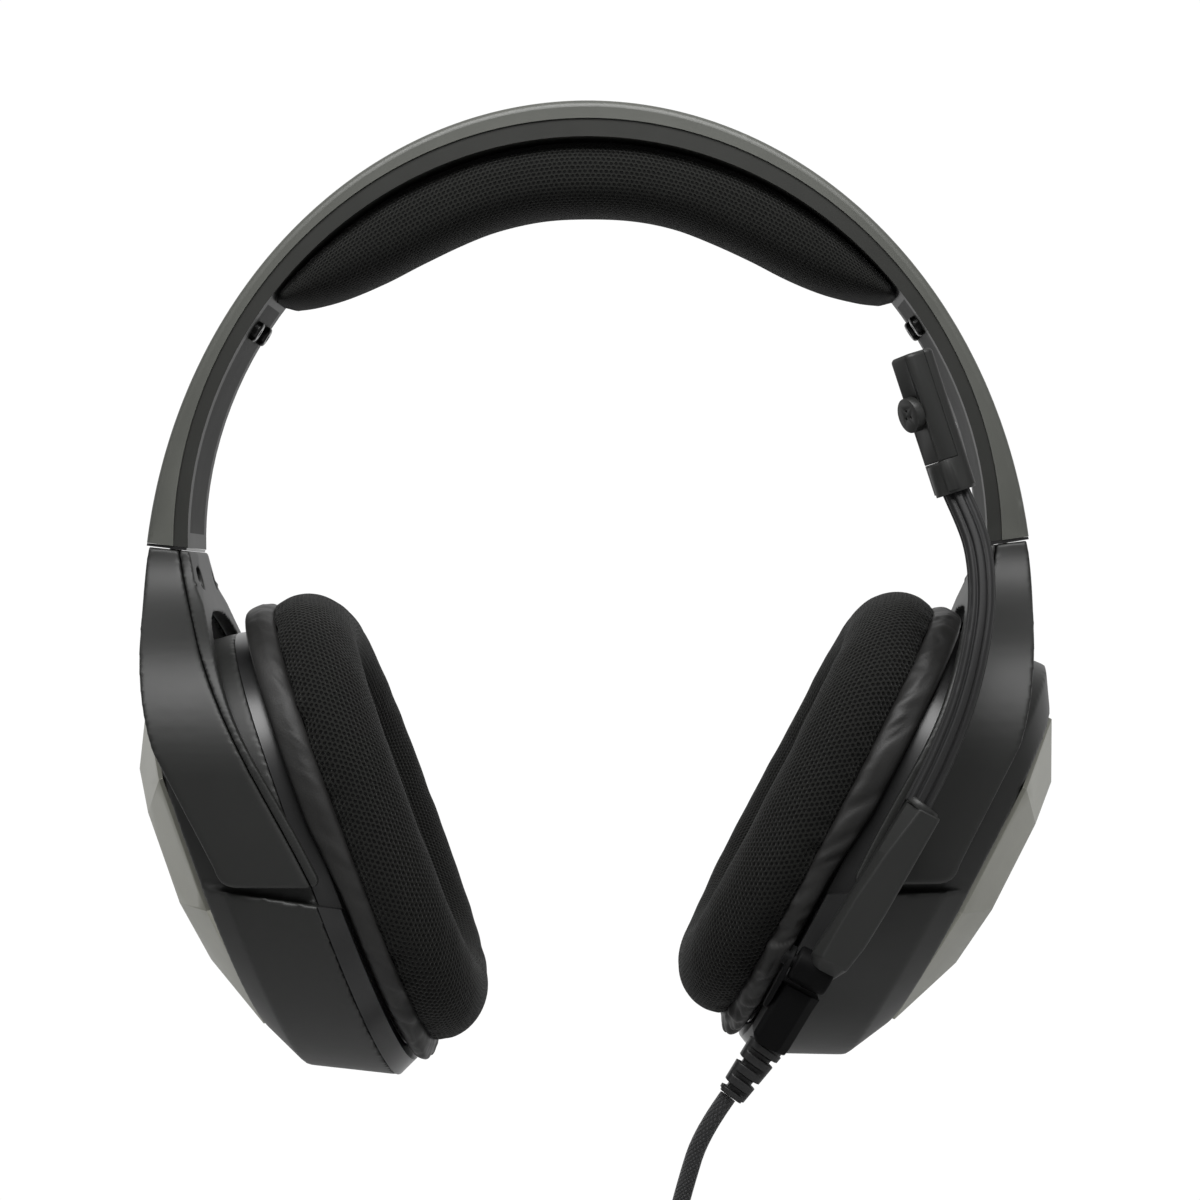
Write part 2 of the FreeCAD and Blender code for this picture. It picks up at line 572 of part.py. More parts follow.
def make_boom_base():
    """The rigid arm, drawn in the cup's upright frame, hinged on a pin along x."""
    along = X_AXIS
    hub = rod(HUB_CENTRE - along * 4.0, HUB_CENTRE + along * 4.0, HUB_RADIUS)
    sections = [bar_section(Vector(-9.2, -50.3, -29.0), 7.8, 7.4),
                bar_section(Vector(-8.0, -51.0, -16.0), 8.6, 7.2),
                bar_section(Vector(-6.6, -51.8, -3.0), 8.4, 7.0),
                bar_section(Vector(-6.1, -52.3, 9.4), 7.8, 7.0)]
    arm = Part.makeLoft(sections, True, False)
    pin_bore = rod(HUB_CENTRE - along * 10.0, HUB_CENTRE + along * 2.6, 1.46)
    socket = rod(Vector(-6.1, -52.3, 8.4), Vector(-6.1, -52.3, 12.0), BOOM_DIAMETER / 2.0 + 0.3)
    return arm.fuse(hub).removeSplitter().cut(pin_bore).cut(socket)


def to_capsule_place(shape):
    """From the capsule's upright frame (x towards the mouth) to its place on the boom."""
    moved = shape.copy()
    moved.rotate(Vector(0, 0, 0), Z_AXIS, 180.0 + CAPSULE_TWIST)
    moved.rotate(Vector(0, 0, 0), Y_AXIS, -CAPSULE_LEAN)
    moved.translate(BOOM_ROUTE[-1])
    return moved


def make_capsule():
    """The microphone's two shells, its element and its round port."""
    body = rounded_block(6.6, 7.8, 0.0, CAPSULE_LENGTH, 1.7)
    ends = [edge for edge in body.Edges if edge.CenterOfMass.z > CAPSULE_LENGTH - 0.1]
    body = body.makeFillet(0.9, ends)
    inner_room = box((-0.6, -10.0, 6.2), (10.0, 10.0, 40.0))
    element_z = 16.6
    element_bore = rod(Vector(-0.5, 0, element_z), Vector(3.4, 0, element_z), 2.9)
    front = body.common(inner_room)
    front = front.cut(element_bore)
    back = body.cut(box((-0.65, -10.0, 6.1), (10.0, 10.0, 40.0)))
    collar = rod(Vector(0, 0, -0.6), Vector(0, 0, 5.6), 4.0, 3.9)
    socket = rod(Vector(0, 0, -1.0), Vector(0, 0, 1.0), BOOM_DIAMETER / 2.0 + 0.3)
    back = back.fuse(collar).cut(socket)
    element = rod(Vector(-0.4, 0, element_z), Vector(2.4, 0, element_z), 2.85)
    port = rod(Vector(2.5, 0, element_z), Vector(5.2, 0, element_z), 2.85)
    port = port.fuse(rod(Vector(3.35, 0, element_z), Vector(5.2, 0, element_z), 3.5))
    for i in range(3):
        turn = math.radians(90.0 + 120.0 * i)
        hole = Vector(2.0, 0.95 * math.cos(turn), element_z + 0.95 * math.sin(turn))
        port = port.cut(rod(hole, hole + X_AXIS * 4.0, 0.35))
    return {"mic_shell_front": front, "mic_shell_back": back, "mic_element": element,
            "mic_port": port}


def make_gooseneck():
    """Two halves that meet in a ball at the middle of the bend."""
    half = BOOM_DIAMETER / 2.0
    lower = tube("gooseneck_lower", BOOM_ROUTE[:4] + [FLEX_POINT], half)
    upper = tube("gooseneck_upper", [FLEX_POINT] + BOOM_ROUTE[4:], half)
    upper = upper.fuse(ball(FLEX_POINT, half))
    lower = lower.cut(ball(FLEX_POINT, half + FLEX_CLEARANCE))
    return lower, upper


# ---- cable entry, volume control, cable and plug on the left cup ------------------------------
RELIEF_TOP = Vector(-10.3, -44.6, -46.6)
RELIEF_LENGTH = 12.6
RELIEF_LEAN = 36.0
WHEEL_CENTRE = Vector(0.2, 31.4, -23.0)
WHEEL_RADIUS = 8.0
LEAD_X = 17.0
COIL_CENTRE = Vector(LEAD_X + COIL_RADIUS, -44.0, -227.5)
PLUG_X = 10.4


def make_entry_block():
    """The dark block at the foot of the cup that takes the cable and holds the boom's pin."""
    body = box((-15.6, -50.4, -46.6), (-5.6, -34.0, -35.2))
    front_edges = [edge for edge in body.Edges
                   if edge.CenterOfMass.y < -50.0 or edge.CenterOfMass.z < -46.0
                   and abs(edge.tangentAt(0).y) > 0.5]
    body = body.makeFillet(1.5, front_edges)
    ear_low = Vector(-15.6, HUB_CENTRE.y, HUB_CENTRE.z)
    ear = rod(ear_low, ear_low + X_AXIS * 2.2, HUB_RADIUS - 0.2)
    ear = ear.fuse(box((-15.6, -54.0, -37.0), (-13.4, -44.0, -29.0)).common(
        box((-15.6, HUB_CENTRE.y - HUB_RADIUS + 0.2, -37.0), (-13.4, -44.0, -29.0))))
    block = body.fuse(ear).removeSplitter()
    pin = rod(HUB_CENTRE - X_AXIS * 6.4, HUB_CENTRE + X_AXIS * 2.4, 1.4)
    region = box((-20.0, -60.0, -60.0), (0, -25.0, -20.0))
    filled_skirt = stack([(SKIRT_FRONT - 1.0, 43.2, -50.6, 48.2), (BAFFLE_PLANE + 1.1, 43.2, -50.6, 48.2)])
    for neighbour in (cup_body(SHELL_UPPER, SHELL_LOWER), cup_body(RIM_UPPER, RIM_LOWER), filled_skirt):
        block = block.cut(neighbour.common(region))
    block = block.cut(pin)
    return block, pin


def make_strain_relief():
    """A short segmented sleeve, drawn in world place."""
    top = to_world(Part.Vertex(RELIEF_TOP), LEFT_TILT).Point
    lean = math.radians(RELIEF_LEAN)
    along = Vector(-math.sin(lean), 0, -math.cos(lean))
    sleeve = rod(top, top + along * RELIEF_LENGTH, 3.1, 2.7)
    for i in range(3):
        start = top + along * (2.0 + 3.6 * i)
        groove = rod(start, start + along * 1.1, 4.0).cut(rod(start, start + along * 1.1, 2.3))
        sleeve = sleeve.cut(groove)
    return sleeve, top + along * RELIEF_LENGTH, along


def make_volume_control(shell):
    """The thumb wheel at the back of the left cup and its holder."""
    end = WHEEL_CENTRE + X_AXIS * 1.7
    start = WHEEL_CENTRE - X_AXIS * 1.7
    wheel = rod(start, end, WHEEL_RADIUS)
    teeth = 36
    for i in range(teeth):
        turn = 2.0 * math.pi * i / teeth
        rim_point = Vector(0, WHEEL_RADIUS * math.cos(turn), WHEEL_RADIUS * math.sin(turn))
        wheel = wheel.cut(rod(start + rim_point - X_AXIS, end + rim_point + X_AXIS, 0.28))
    wheel = wheel.fuse(rod(start - X_AXIS * 3.0, start, 1.0))
    holder = box((-10.4, 26.4, -28.0), (start.x - 0.4, 35.6, -18.0))
    holder = holder.cut(rod(start - X_AXIS * 3.2, start + X_AXIS, 1.05))
    room = stack(shrunk(SHELL_UPPER, WALL + 0.4, RIM_PLANE + 0.3, SHELL_FACE - WALL - 0.4))
    holder = holder.common(room)
    slot = box((start.x - 0.35, 25.0, WHEEL_CENTRE.z - 9.0), (end.x + 0.35, 50.0, WHEEL_CENTRE.z + 9.0))
    return wheel, holder, shell.cut(slot)


def make_plug():
    """A 3.5 mm four-pole plug that hangs beside the coil."""
    boot_top = Vector(12.0, COIL_CENTRE.y, -235.5)
    grip_top = Vector(PLUG_X, COIL_CENTRE.y, -243.0)
    grip_end = grip_top - Z_AXIS * 19.0
    grip = rod(boot_top, grip_top, 2.3, 3.3).fuse(rod(grip_top, grip_end, 4.0))
    grip = grip.fuse(ball(grip_top, 3.3))
    pin_end = grip_end - Z_AXIS * (PLUG_LENGTH - 2.4)
    contacts = rod(grip_end, pin_end, PLUG_RADIUS)
    contacts = contacts.fuse(rod(pin_end, pin_end - Z_AXIS * 2.4, PLUG_RADIUS, 0.7))
    rings = None
    for depth in (4.2, 6.9, 9.6):
        low = grip_end - Z_AXIS * (depth + 0.5)
        band = rod(low, low + Z_AXIS * 0.5, PLUG_RADIUS).cut(rod(low, low + Z_AXIS * 0.5, 1.3))
        rings = band if rings is None else rings.fuse(band)
    return grip, contacts.cut(rings), rings


def make_cable(relief_end, along):
    """The free cable, its put-away coil and the coil's tie."""
    route = [relief_end, relief_end + along * 9.0, Vector(19.3, -44.0, -194.4),
             Vector(17.2, -43.9, -203.2), Vector(LEAD_X, -44.0, -211.6)]
    cable = tube("main_cable", route, CABLE_DIAMETER / 2.0)
    coil = Part.makeTorus(COIL_RADIUS, COIL_SECTION_RADIUS, COIL_CENTRE, Y_AXIS)
    tie_low = Vector(LEAD_X + 0.2, COIL_CENTRE.y, COIL_CENTRE.z - 3.5)
    tie = rod(tie_low, tie_low + Z_AXIS * 7.0, 7.3).cut(rod(tie_low, tie_low + Z_AXIS * 7.0, 6.4))
    return cable, coil, tie


# ---- the whole headset -----------------------------------------------------------------------
make_headband()
left_yoke = make_yoke()
for name, shape in left_yoke.items():
    save("left_" + name, shape)
    save("right_" + name, mirrored(shape))

cup = make_cup()
for name, shape in cup.items():
    save("right_" + name, mirrored(to_world(shape, RIGHT_TILT)))

wheel, wheel_holder, left_shell = make_volume_control(cup["cup_shell"])
entry_block, boom_pin = make_entry_block()
cup["cup_shell"] = left_shell
for name, shape in cup.items():
    save("left_" + name, to_world(shape, LEFT_TILT))
left_only = {"volume_wheel": wheel, "volume_holder": wheel_holder,
             "cable_entry_block": entry_block, "boom_pin": boom_pin,
             "boom_base_arm": make_boom_base()}
for name, shape in left_only.items():
    save(name, to_world(shape, LEFT_TILT))

gooseneck_lower, gooseneck_upper = make_gooseneck()
save("gooseneck_lower", gooseneck_lower)
save("gooseneck_upper", gooseneck_upper)
for name, shape in make_capsule().items():
    save(name, to_capsule_place(shape))

relief, relief_end, relief_direction = make_strain_relief()
save("strain_relief", relief)
cable, coil, tie = make_cable(relief_end, relief_direction)
save("main_cable", cable)
save("cable_coil", coil)
save("coil_tie", tie)
grip, contacts, insulators = make_plug()
save("plug_grip", grip)
save("plug_contacts", contacts)
save("plug_insulators", insulators)
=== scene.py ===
"""Wired gaming headset: camera, studio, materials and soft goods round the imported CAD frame.

Sizes are in millimetres inside the helpers and become metres when a mesh is made.
"""
import json
import math

import bmesh
import bpy
from mathutils import Matrix, Vector, noise


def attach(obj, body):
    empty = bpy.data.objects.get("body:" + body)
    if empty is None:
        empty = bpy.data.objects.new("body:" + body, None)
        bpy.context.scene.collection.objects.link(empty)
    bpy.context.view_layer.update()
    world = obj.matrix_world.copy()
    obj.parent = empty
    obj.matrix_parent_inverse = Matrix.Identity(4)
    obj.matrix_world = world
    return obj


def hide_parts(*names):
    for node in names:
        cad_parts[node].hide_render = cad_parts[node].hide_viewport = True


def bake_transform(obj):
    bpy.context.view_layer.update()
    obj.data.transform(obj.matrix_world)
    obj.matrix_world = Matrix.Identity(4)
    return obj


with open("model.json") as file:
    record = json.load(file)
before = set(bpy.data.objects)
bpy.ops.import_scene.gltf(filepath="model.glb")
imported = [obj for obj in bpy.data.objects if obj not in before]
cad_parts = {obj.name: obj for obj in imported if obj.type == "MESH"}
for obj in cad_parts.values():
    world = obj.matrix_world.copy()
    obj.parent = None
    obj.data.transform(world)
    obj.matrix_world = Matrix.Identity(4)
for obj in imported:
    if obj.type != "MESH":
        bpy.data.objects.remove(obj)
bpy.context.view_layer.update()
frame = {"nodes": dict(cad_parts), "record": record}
MM = 0.001
NODES = frame["nodes"]
SIDES = ("left", "right")

# ---- camera, floor and light ---------------------------------------------------------
AIM = Vector((0.0023, 0.0, -0.0794))
DISTANCE = 0.85
AZIMUTH = math.radians(1.0)
ROLL = math.radians(-0.4)
FRAME_WIDTH = 0.25
SENSOR = 36.0

camera_data = bpy.data.cameras.new("camera")
camera_data.sensor_width = SENSOR
camera_data.lens = SENSOR * DISTANCE / FRAME_WIDTH
camera_data.clip_start = 0.01
camera = bpy.data.objects.new("camera", camera_data)
bpy.context.scene.collection.objects.link(camera)
camera.location = AIM + Vector((math.sin(AZIMUTH), -math.cos(AZIMUTH), 0.0)) * DISTANCE
looking = (AIM - camera.location).to_track_quat("-Z", "Y").to_matrix().to_4x4()
camera.rotation_euler = (looking @ Matrix.Rotation(ROLL, 4, "Z")).to_euler()
bpy.context.scene.camera = camera


def area_light(name, place, size, power, colour=(1.0, 1.0, 1.0)):
    data = bpy.data.lights.new(name, "AREA")
    data.shape = "RECTANGLE"
    data.size, data.size_y = size
    data.energy = power
    data.color = colour
    light = bpy.data.objects.new(name, data)
    bpy.context.scene.collection.objects.link(light)
    light.visible_camera = False
    light.location = place
    light.rotation_euler = (Vector((0, 0, -0.1)) - light.location).to_track_quat("-Z", "Y").to_euler()


area_light("key_left", Vector((-1.1, -0.7, 0.5)), (0.9, 1.2), 2.6)
area_light("key_right", Vector((1.2, -0.6, 0.1)), (0.9, 1.2), 2.4)
area_light("top", Vector((0.0, -0.26, 0.27)), (0.45, 0.2), 3.7)
area_light("low_fill", Vector((0.5, -1.3, -0.2)), (1.0, 0.3), 0.8)

bpy.context.scene.view_settings.view_transform = "Standard"
world = bpy.data.worlds.new("studio")
bpy.context.scene.world = world
world.use_nodes = True
background = world.node_tree.nodes["Background"]
background.inputs["Color"].default_value = (1.0, 1.0, 1.0, 1.0)
SKY_FRONT = 0.23
SKY_BACK = 1.02
SKY_BELOW = 0.55
sky = world.node_tree
sky_way = sky.nodes.new("ShaderNodeTexCoord")
sky_split = sky.nodes.new("ShaderNodeSeparateXYZ")
sky.links.new(sky_way.outputs["Generated"], sky_split.inputs[0])


def sky_ramp(axis, start, end, low, high):
    """A smooth change of the world's strength along one axis of the direction."""
    ramp = sky.nodes.new("ShaderNodeMapRange")
    ramp.interpolation_type = "SMOOTHSTEP"
    for name, value in (("From Min", start), ("From Max", end), ("To Min", low), ("To Max", high)):
        ramp.inputs[name].default_value = value
    sky.links.new(sky_split.outputs[axis], ramp.inputs["Value"])
    return ramp.outputs[0]


sky_strength = sky.nodes.new("ShaderNodeMath")
sky_strength.operation = "MULTIPLY"
sky.links.new(sky_ramp("Y", -0.1, 0.93, SKY_FRONT, SKY_BACK), sky_strength.inputs[0])
sky.links.new(sky_ramp("Z", -0.75, -0.17, SKY_BELOW, 1.0), sky_strength.inputs[1])
sky.links.new(sky_strength.outputs[0], background.inputs["Strength"])


# ---- node helpers --------------------------------------------------------------------
def material(name, colour, roughness, **settings):
    """A Principled material with its constants set on the shader's own sockets."""
    made = bpy.data.materials.new(name)
    made.use_nodes = True
    shader = made.node_tree.nodes["Principled BSDF"]
    shader.inputs["Base Color"].default_value = (*colour, 1.0)
    shader.inputs["Roughness"].default_value = roughness
    shader.inputs["Specular IOR Level"].default_value = 0.35
    for key, value in settings.items():
        shader.inputs[key.replace("_", " ")].default_value = value
    return made


def put(tree, kind, **inputs):
    """Adds a node; keys that name an input set it, or link it when given a socket."""
    node = tree.nodes.new(kind)
    for key, value in inputs.items():
        if hasattr(node, key) and key not in ("inputs", "outputs"):
            setattr(node, key, value)
            continue
        socket = node.inputs[int(key[1:])] if key[0] == "i" and key[1:].isdigit() else node.inputs[key]
        if isinstance(value, bpy.types.NodeSocket):
            tree.links.new(value, socket)
        else:
            socket.default_value = value
    return node


def calc(tree, operation, first, second=0.0, third=None):
    node = put(tree, "ShaderNodeMath", operation=operation, i0=first, i1=second)
    if third is not None:
        node.inputs[2].default_value = third
    return node.outputs[0]


def object_point(tree):
    return put(tree, "ShaderNodeTexCoord").outputs["Object"]


def noise_at(tree, scale, detail=3.0, roughness=0.5, point=None):
    return put(tree, "ShaderNodeTexNoise", Vector=point or object_point(tree), Scale=scale,
               Detail=detail, Roughness=roughness).outputs[0]


def spread(tree, value, low, high):
    """Turns a 0 to 1 value into low to high."""
    return put(tree, "ShaderNodeMapRange", Value=value, **{"To Min": low, "To Max": high}).outputs[0]


def mixed(tree, factor, first, second):
    node = put(tree, "ShaderNodeMix", data_type="RGBA")
    tree.links.new(factor, node.inputs["Factor"])
    for socket, value in ((node.inputs[6], first), (node.inputs[7], second)):
        if isinstance(value, bpy.types.NodeSocket):
            tree.links.new(value, socket)
        else:
            socket.default_value = (*value, 1.0)
    return node.outputs[2]


def shader_of(made):
    return made.node_tree.nodes["Principled BSDF"]


def bump(made, height, distance, strength=1.0):
    tree = made.node_tree
    node = put(tree, "ShaderNodeBump", Height=height, Strength=strength, Distance=distance)
    tree.links.new(node.outputs[0], shader_of(made).inputs["Normal"])


def drive_colour(made, socket):
    made.node_tree.links.new(socket, shader_of(made).inputs["Base Color"])


def drive_roughness(made, socket):
    made.node_tree.links.new(socket, shader_of(made).inputs["Roughness"])


def moulded(name, colour, roughness, grain=0.012, wear_and_highlight=0.25, **settings):
    """Moulded or painted surface: fine grain, faint mottling and paler edges that are partly wear and
    partly a painted highlight.
    """
    made = material(name, colour, roughness, **settings)
    tree = made.node_tree
    mottle = noise_at(tree, 55.0, 4.0, 0.6)
    dark = tuple(c * 0.86 for c in colour)
    light = tuple(min(1.0, c * 1.16) for c in colour)
    tone = mixed(tree, mottle, dark, light)
    # Paler convex edges: partly wear, partly a painted highlight along the edge lines.
    edge = put(tree, "ShaderNodeNewGeometry").outputs["Pointiness"]
    edge = put(tree, "ShaderNodeMapRange", Value=edge,
               **{"From Min": 0.54, "From Max": 0.62, "To Min": 0.0, "To Max": wear_and_highlight}).outputs[0]
    worn_and_highlit = tuple(min(1.0, c * 1.9 + 0.01) for c in colour)
    drive_colour(made, mixed(tree, edge, tone, worn_and_highlit))
    smudge = noise_at(tree, 28.0, 5.0, 0.65)
    drive_roughness(made, spread(tree, smudge, roughness * 0.86, roughness * 1.16))
    fine = noise_at(tree, 2600.0, 2.0, 0.5)
    bump(made, fine, grain * MM, 0.5)
    return made


def surface_rows(tree, across, along):
    """Metric position on a piece made by grid(): metres round it and metres across it."""
    place = put(tree, "ShaderNodeSeparateXYZ",
                Vector=put(tree, "ShaderNodeUVMap", uv_map="metric").outputs[0])
    return (calc(tree, "MULTIPLY", place.outputs[0], 1.0 / across),
            calc(tree, "MULTIPLY", place.outputs[1], 1.0 / along))


def knit_material(name, colour, pitch=0.86, depth=0.34):
    """Open knit: staggered rows of loops, with the holes between them coloured near black as painted
    shade.
    """
    made = material(name, colour, 0.85, Sheen_Weight=0.04, Sheen_Roughness=0.4)
    shader_of(made).inputs["Specular IOR Level"].default_value = 0.12
    tree = made.node_tree
    wobble = spread(tree, noise_at(tree, 620.0, 3.0), -0.3, 0.3)
    column, row = surface_rows(tree, pitch * 1.2 * MM, pitch * MM)
    column = calc(tree, "ADD", column, wobble)
    row = calc(tree, "ADD", row, calc(tree, "MULTIPLY", wobble, 0.6))
    turn = 2.0 * math.pi
    step = calc(tree, "FLOOR", row)
    shift = calc(tree, "MULTIPLY", calc(tree, "MODULO", step, 2.0), 0.5)
    across = calc(tree, "SINE", calc(tree, "MULTIPLY", calc(tree, "FRACT", row), turn / 2.0))
    along = calc(tree, "SINE", calc(tree, "MULTIPLY", calc(tree, "ADD", column, shift), turn))
    along = calc(tree, "MULTIPLY_ADD", along, 0.5, 0.5)
    loops = calc(tree, "MULTIPLY", calc(tree, "POWER", across, 0.7), calc(tree, "POWER", along, 0.6))
    fibre = noise_at(tree, 4200.0, 2.0)
    hole_relief_and_shade = put(tree, "ShaderNodeMapRange", Value=loops,
               **{"From Min": 0.72, "From Max": 0.3}).outputs[0]
    height = calc(tree, "ADD", hole_relief_and_shade, calc(tree, "MULTIPLY", fibre, 0.3))
    # Painted shade: the holes between the loops are coloured near black.
    dark = tuple(c * 0.06 for c in colour)
    light = tuple(c * 2.2 for c in colour)
    broad = spread(tree, noise_at(tree, 110.0, 3.0), 0.0, 1.0)
    strand = calc(tree, "MULTIPLY", calc(tree, "ABSOLUTE", calc(tree, "SUBTRACT", across, 0.35)), 1.4)
    tone = mixed(tree, calc(tree, "MULTIPLY", broad, strand), light, tuple(c * 0.7 for c in colour))
    drive_colour(made, mixed(tree, hole_relief_and_shade, dark, tone))
    bump(made, height, depth * MM, 1.0)
    return made


def leather_material(name, colour):
    """Soft leatherette: pebbled cells, creases and a low even sheen."""
    made = material(name, colour, 0.52)
    shader_of(made).inputs["Specular IOR Level"].default_value = 0.28
    tree = made.node_tree
    cells = put(tree, "ShaderNodeTexVoronoi", Vector=object_point(tree), Scale=1500.0,
                feature="DISTANCE_TO_EDGE").outputs["Distance"]
    creases = noise_at(tree, 420.0, 5.0, 0.6)
    height = calc(tree, "ADD", calc(tree, "MULTIPLY", cells, 0.6), creases)
    tone = mixed(tree, noise_at(tree, 160.0, 4.0), tuple(c * 0.75 for c in colour),
                 tuple(c * 1.3 for c in colour))
    drive_colour(made, tone)
    drive_roughness(made, spread(tree, noise_at(tree, 240.0, 4.0), 0.44, 0.6))
    bump(made, height, 0.07 * MM, 0.6)
    return made


def braid_material(name, colour, lengthwise, strands=10):
    """Braided sleeve on a curve: two families of strands that cross."""
    made = material(name, colour, 0.6, Sheen_Weight=0.1)
    tree = made.node_tree
    place = put(tree, "ShaderNodeSeparateXYZ",
                Vector=put(tree, "ShaderNodeTexCoord").outputs["UV"])
    along = calc(tree, "MULTIPLY", place.outputs[0], lengthwise)
    around = calc(tree, "MULTIPLY", place.outputs[1], float(strands))
    turn = 2.0 * math.pi
    one = calc(tree, "SINE", calc(tree, "MULTIPLY", calc(tree, "ADD", along, around), turn / 2.0))
    two = calc(tree, "SINE", calc(tree, "MULTIPLY", calc(tree, "SUBTRACT", along, around), turn / 2.0))
    weave_relief_and_shade = calc(tree, "ABSOLUTE", calc(tree, "MULTIPLY", one, two))
    # Painted shade: the grooves between the strands are coloured far darker than the strands.
    tone = put(tree, "ShaderNodeMapRange", Value=weave_relief_and_shade, **{"From Max": 0.6}).outputs[0]
    drive_colour(made, mixed(tree, tone, tuple(c * 0.2 for c in colour), tuple(c * 1.7 for c in colour)))
    bump(made, calc(tree, "ADD", weave_relief_and_shade, calc(tree, "MULTIPLY", noise_at(tree, 4000.0), 0.2)),
         0.22 * MM, 0.9)
    return made


SHELL_GREY = moulded("shell_grey", (0.05, 0.0515, 0.0455), 0.46, wear_and_highlight=0.35, Coat_Weight=0.12,
                     Coat_Roughness=0.35)
RIM_GREY = moulded("rim_grey", (0.0125, 0.0128, 0.0115), 0.5, wear_and_highlight=0.3)
shader_of(RIM_GREY).inputs["Specular IOR Level"].default_value = 0.2
INNER = moulded("inner_black", (0.0095, 0.0098, 0.009), 0.62, wear_and_highlight=0.3)
shader_of(INNER).inputs["Specular IOR Level"].default_value = 0.08
DARK = moulded("dark_plastic", (0.0078, 0.0081, 0.0075), 0.5, wear_and_highlight=0.25)
PIANO = moulded("rim_black", (0.0045, 0.0045, 0.0046), 0.3, grain=0.004, wear_and_highlight=0.3)
PLATE = moulded("plate_metal", (0.235, 0.235, 0.205), 0.4, grain=0.02, wear_and_highlight=0.2, Metallic=1.0)
KNIT = knit_material("knit", (0.0042, 0.0043, 0.0038))
LEATHER = leather_material("leatherette", (0.008, 0.0078, 0.0075))
# Painted shade: the black plastic darkened further and made barely shiny for the entry block, its ear,
# the boom hub and pin, which sit in the shadow under the arm's foot.
BLOCK_PAINTED_SHADE = moulded("block_painted_shade", (0.0016, 0.0016, 0.0017), 0.55, wear_and_highlight=0.3)
shader_of(BLOCK_PAINTED_SHADE).inputs["Specular IOR Level"].default_value = 0.06
SCREW = moulded("black_screw", (0.02, 0.02, 0.02), 0.3, Metallic=0.9)
STEEL = moulded("spring_steel", (0.42, 0.42, 0.41), 0.28, Metallic=1.0)
RUBBER = moulded("soft_black", (0.006, 0.006, 0.0062), 0.5, wear_and_highlight=0.5)
GOLD = moulded("plug_gold", (0.75, 0.56, 0.28), 0.2, Metallic=1.0)
FILM = moulded("driver_film", (0.45, 0.45, 0.42), 0.2, Coat_Weight=0.5)
CAN = moulded("mic_can", (0.55, 0.55, 0.55), 0.3, Metallic=1.0)
WIRE = moulded("wire_skin", (0.12, 0.008, 0.008), 0.4)


# ---- mesh helpers --------------------------------------------------------------------
def paint(piece, made):
    """Gives a piece one material."""
    piece.data.materials.clear()
    piece.data.materials.append(made)
    return piece


def show(name, mesh, made, body, stands_for=()):
    """Adds a piece to the scene, on its body and in place of the CAD nodes it stands for."""
    piece = bpy.data.objects.new(name, mesh)
    bpy.context.scene.collection.objects.link(piece)
    paint(piece, made)
    if stands_for:
        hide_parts(*stands_for)
    if body:
        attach(piece, body)
    return piece


def grid(name, rows, wrap_rows=True, wrap_points=True, place=Matrix.Identity(4), cap=False):
    """A surface through rows of points in mm, with a metric UV map; rows go round the piece."""
    count, width = len(rows), len(rows[0])
    verts = [(place @ Vector(point)) * MM for row in rows for point in row]
    faces = []
    last_row = count if wrap_rows else count - 1
    last_point = width if wrap_points else width - 1
    spans = []
    for i in range(last_row):
        for j in range(last_point):
            a, b = (i + 1) % count, (j + 1) % width
            faces.append((i * width + j, a * width + j, a * width + b, i * width + b))
            spans.append((i, j))
    if cap and not wrap_rows:
        faces.append(tuple(range(width))[::-1])
        faces.append(tuple((count - 1) * width + j for j in range(width)))
    mesh = bpy.data.meshes.new(name)
    mesh.from_pydata([tuple(v) for v in verts], [], faces)
    round_lengths = [0.0]
    middle = width // 3
    for i in range(count):
        a, b = verts[i * width + middle], verts[((i + 1) % count) * width + middle]
        round_lengths.append(round_lengths[-1] + (a - b).length)
    cross_lengths = [0.0]
    halfway = (count // 2) * width
    for j in range(width):
        a, b = verts[halfway + j], verts[halfway + (j + 1) % width]
        cross_lengths.append(cross_lengths[-1] + (a - b).length)
    layer = mesh.uv_layers.new(name="metric")
    for index, (i, j) in enumerate(spans):
        corners = ((i, j), (i + 1, j), (i + 1, j + 1), (i, j + 1))
        for k, (row, point) in enumerate(corners):
            layer.data[index * 4 + k].uv = (round_lengths[row], cross_lengths[point])
    work = bmesh.new()
    work.from_mesh(mesh)
    bmesh.ops.recalc_face_normals(work, faces=work.faces)
    work.to_mesh(mesh)
    work.free()
    mesh.shade_smooth()
    return mesh


def curve_through(points, count, closed=False):
    """Catmull-Rom points, evenly spread by index."""
    size = len(points)
    result = []
    pieces = size if closed else size - 1
    for k in range(count):
        at = pieces * k / (count if closed else count - 1)
        i = min(int(at), pieces - 1)
        t = at - i
        if closed:
            four = [points[(i + n - 1) % size] for n in range(4)]
        else:
            four = [points[max(0, min(size - 1, i + n - 1))] for n in range(4)]
        a, b, c, d = (Vector(p) for p in four)
        result.append(0.5 * ((2 * b) + (c - a) * t + (2 * a - 5 * b + 4 * c - d) * t * t
                             + (3 * b - a - 3 * c + d) * t ** 3))
    return result


def baked(piece):
    """The mesh of an object with its modifiers applied."""
    depsgraph = bpy.context.evaluated_depsgraph_get()
    return bpy.data.meshes.new_from_object(piece.evaluated_get(depsgraph))


def modified(mesh, *modifiers):
    """Runs modifiers, given as (type, settings), over a mesh and returns the new mesh."""
    temporary = bpy.data.objects.new("work", mesh)
    bpy.context.scene.collection.objects.link(temporary)
    for kind, settings in modifiers:
        modifier = temporary.modifiers.new(kind, kind)
        for key, value in settings.items():
            setattr(modifier, key, value)
    result = baked(temporary)
    bpy.data.objects.remove(temporary)
    return result


def softened(node, voxel, passes=4):
    """A copy of a CAD node's mesh with its sharp edges rounded off."""
    mesh = NODES[node].data.copy()
    mesh = modified(mesh, ("REMESH", {"mode": "VOXEL", "voxel_size": voxel * MM}),
                    ("SMOOTH", {"factor": 0.6, "iterations": passes}))
    mesh.shade_smooth()
    return mesh


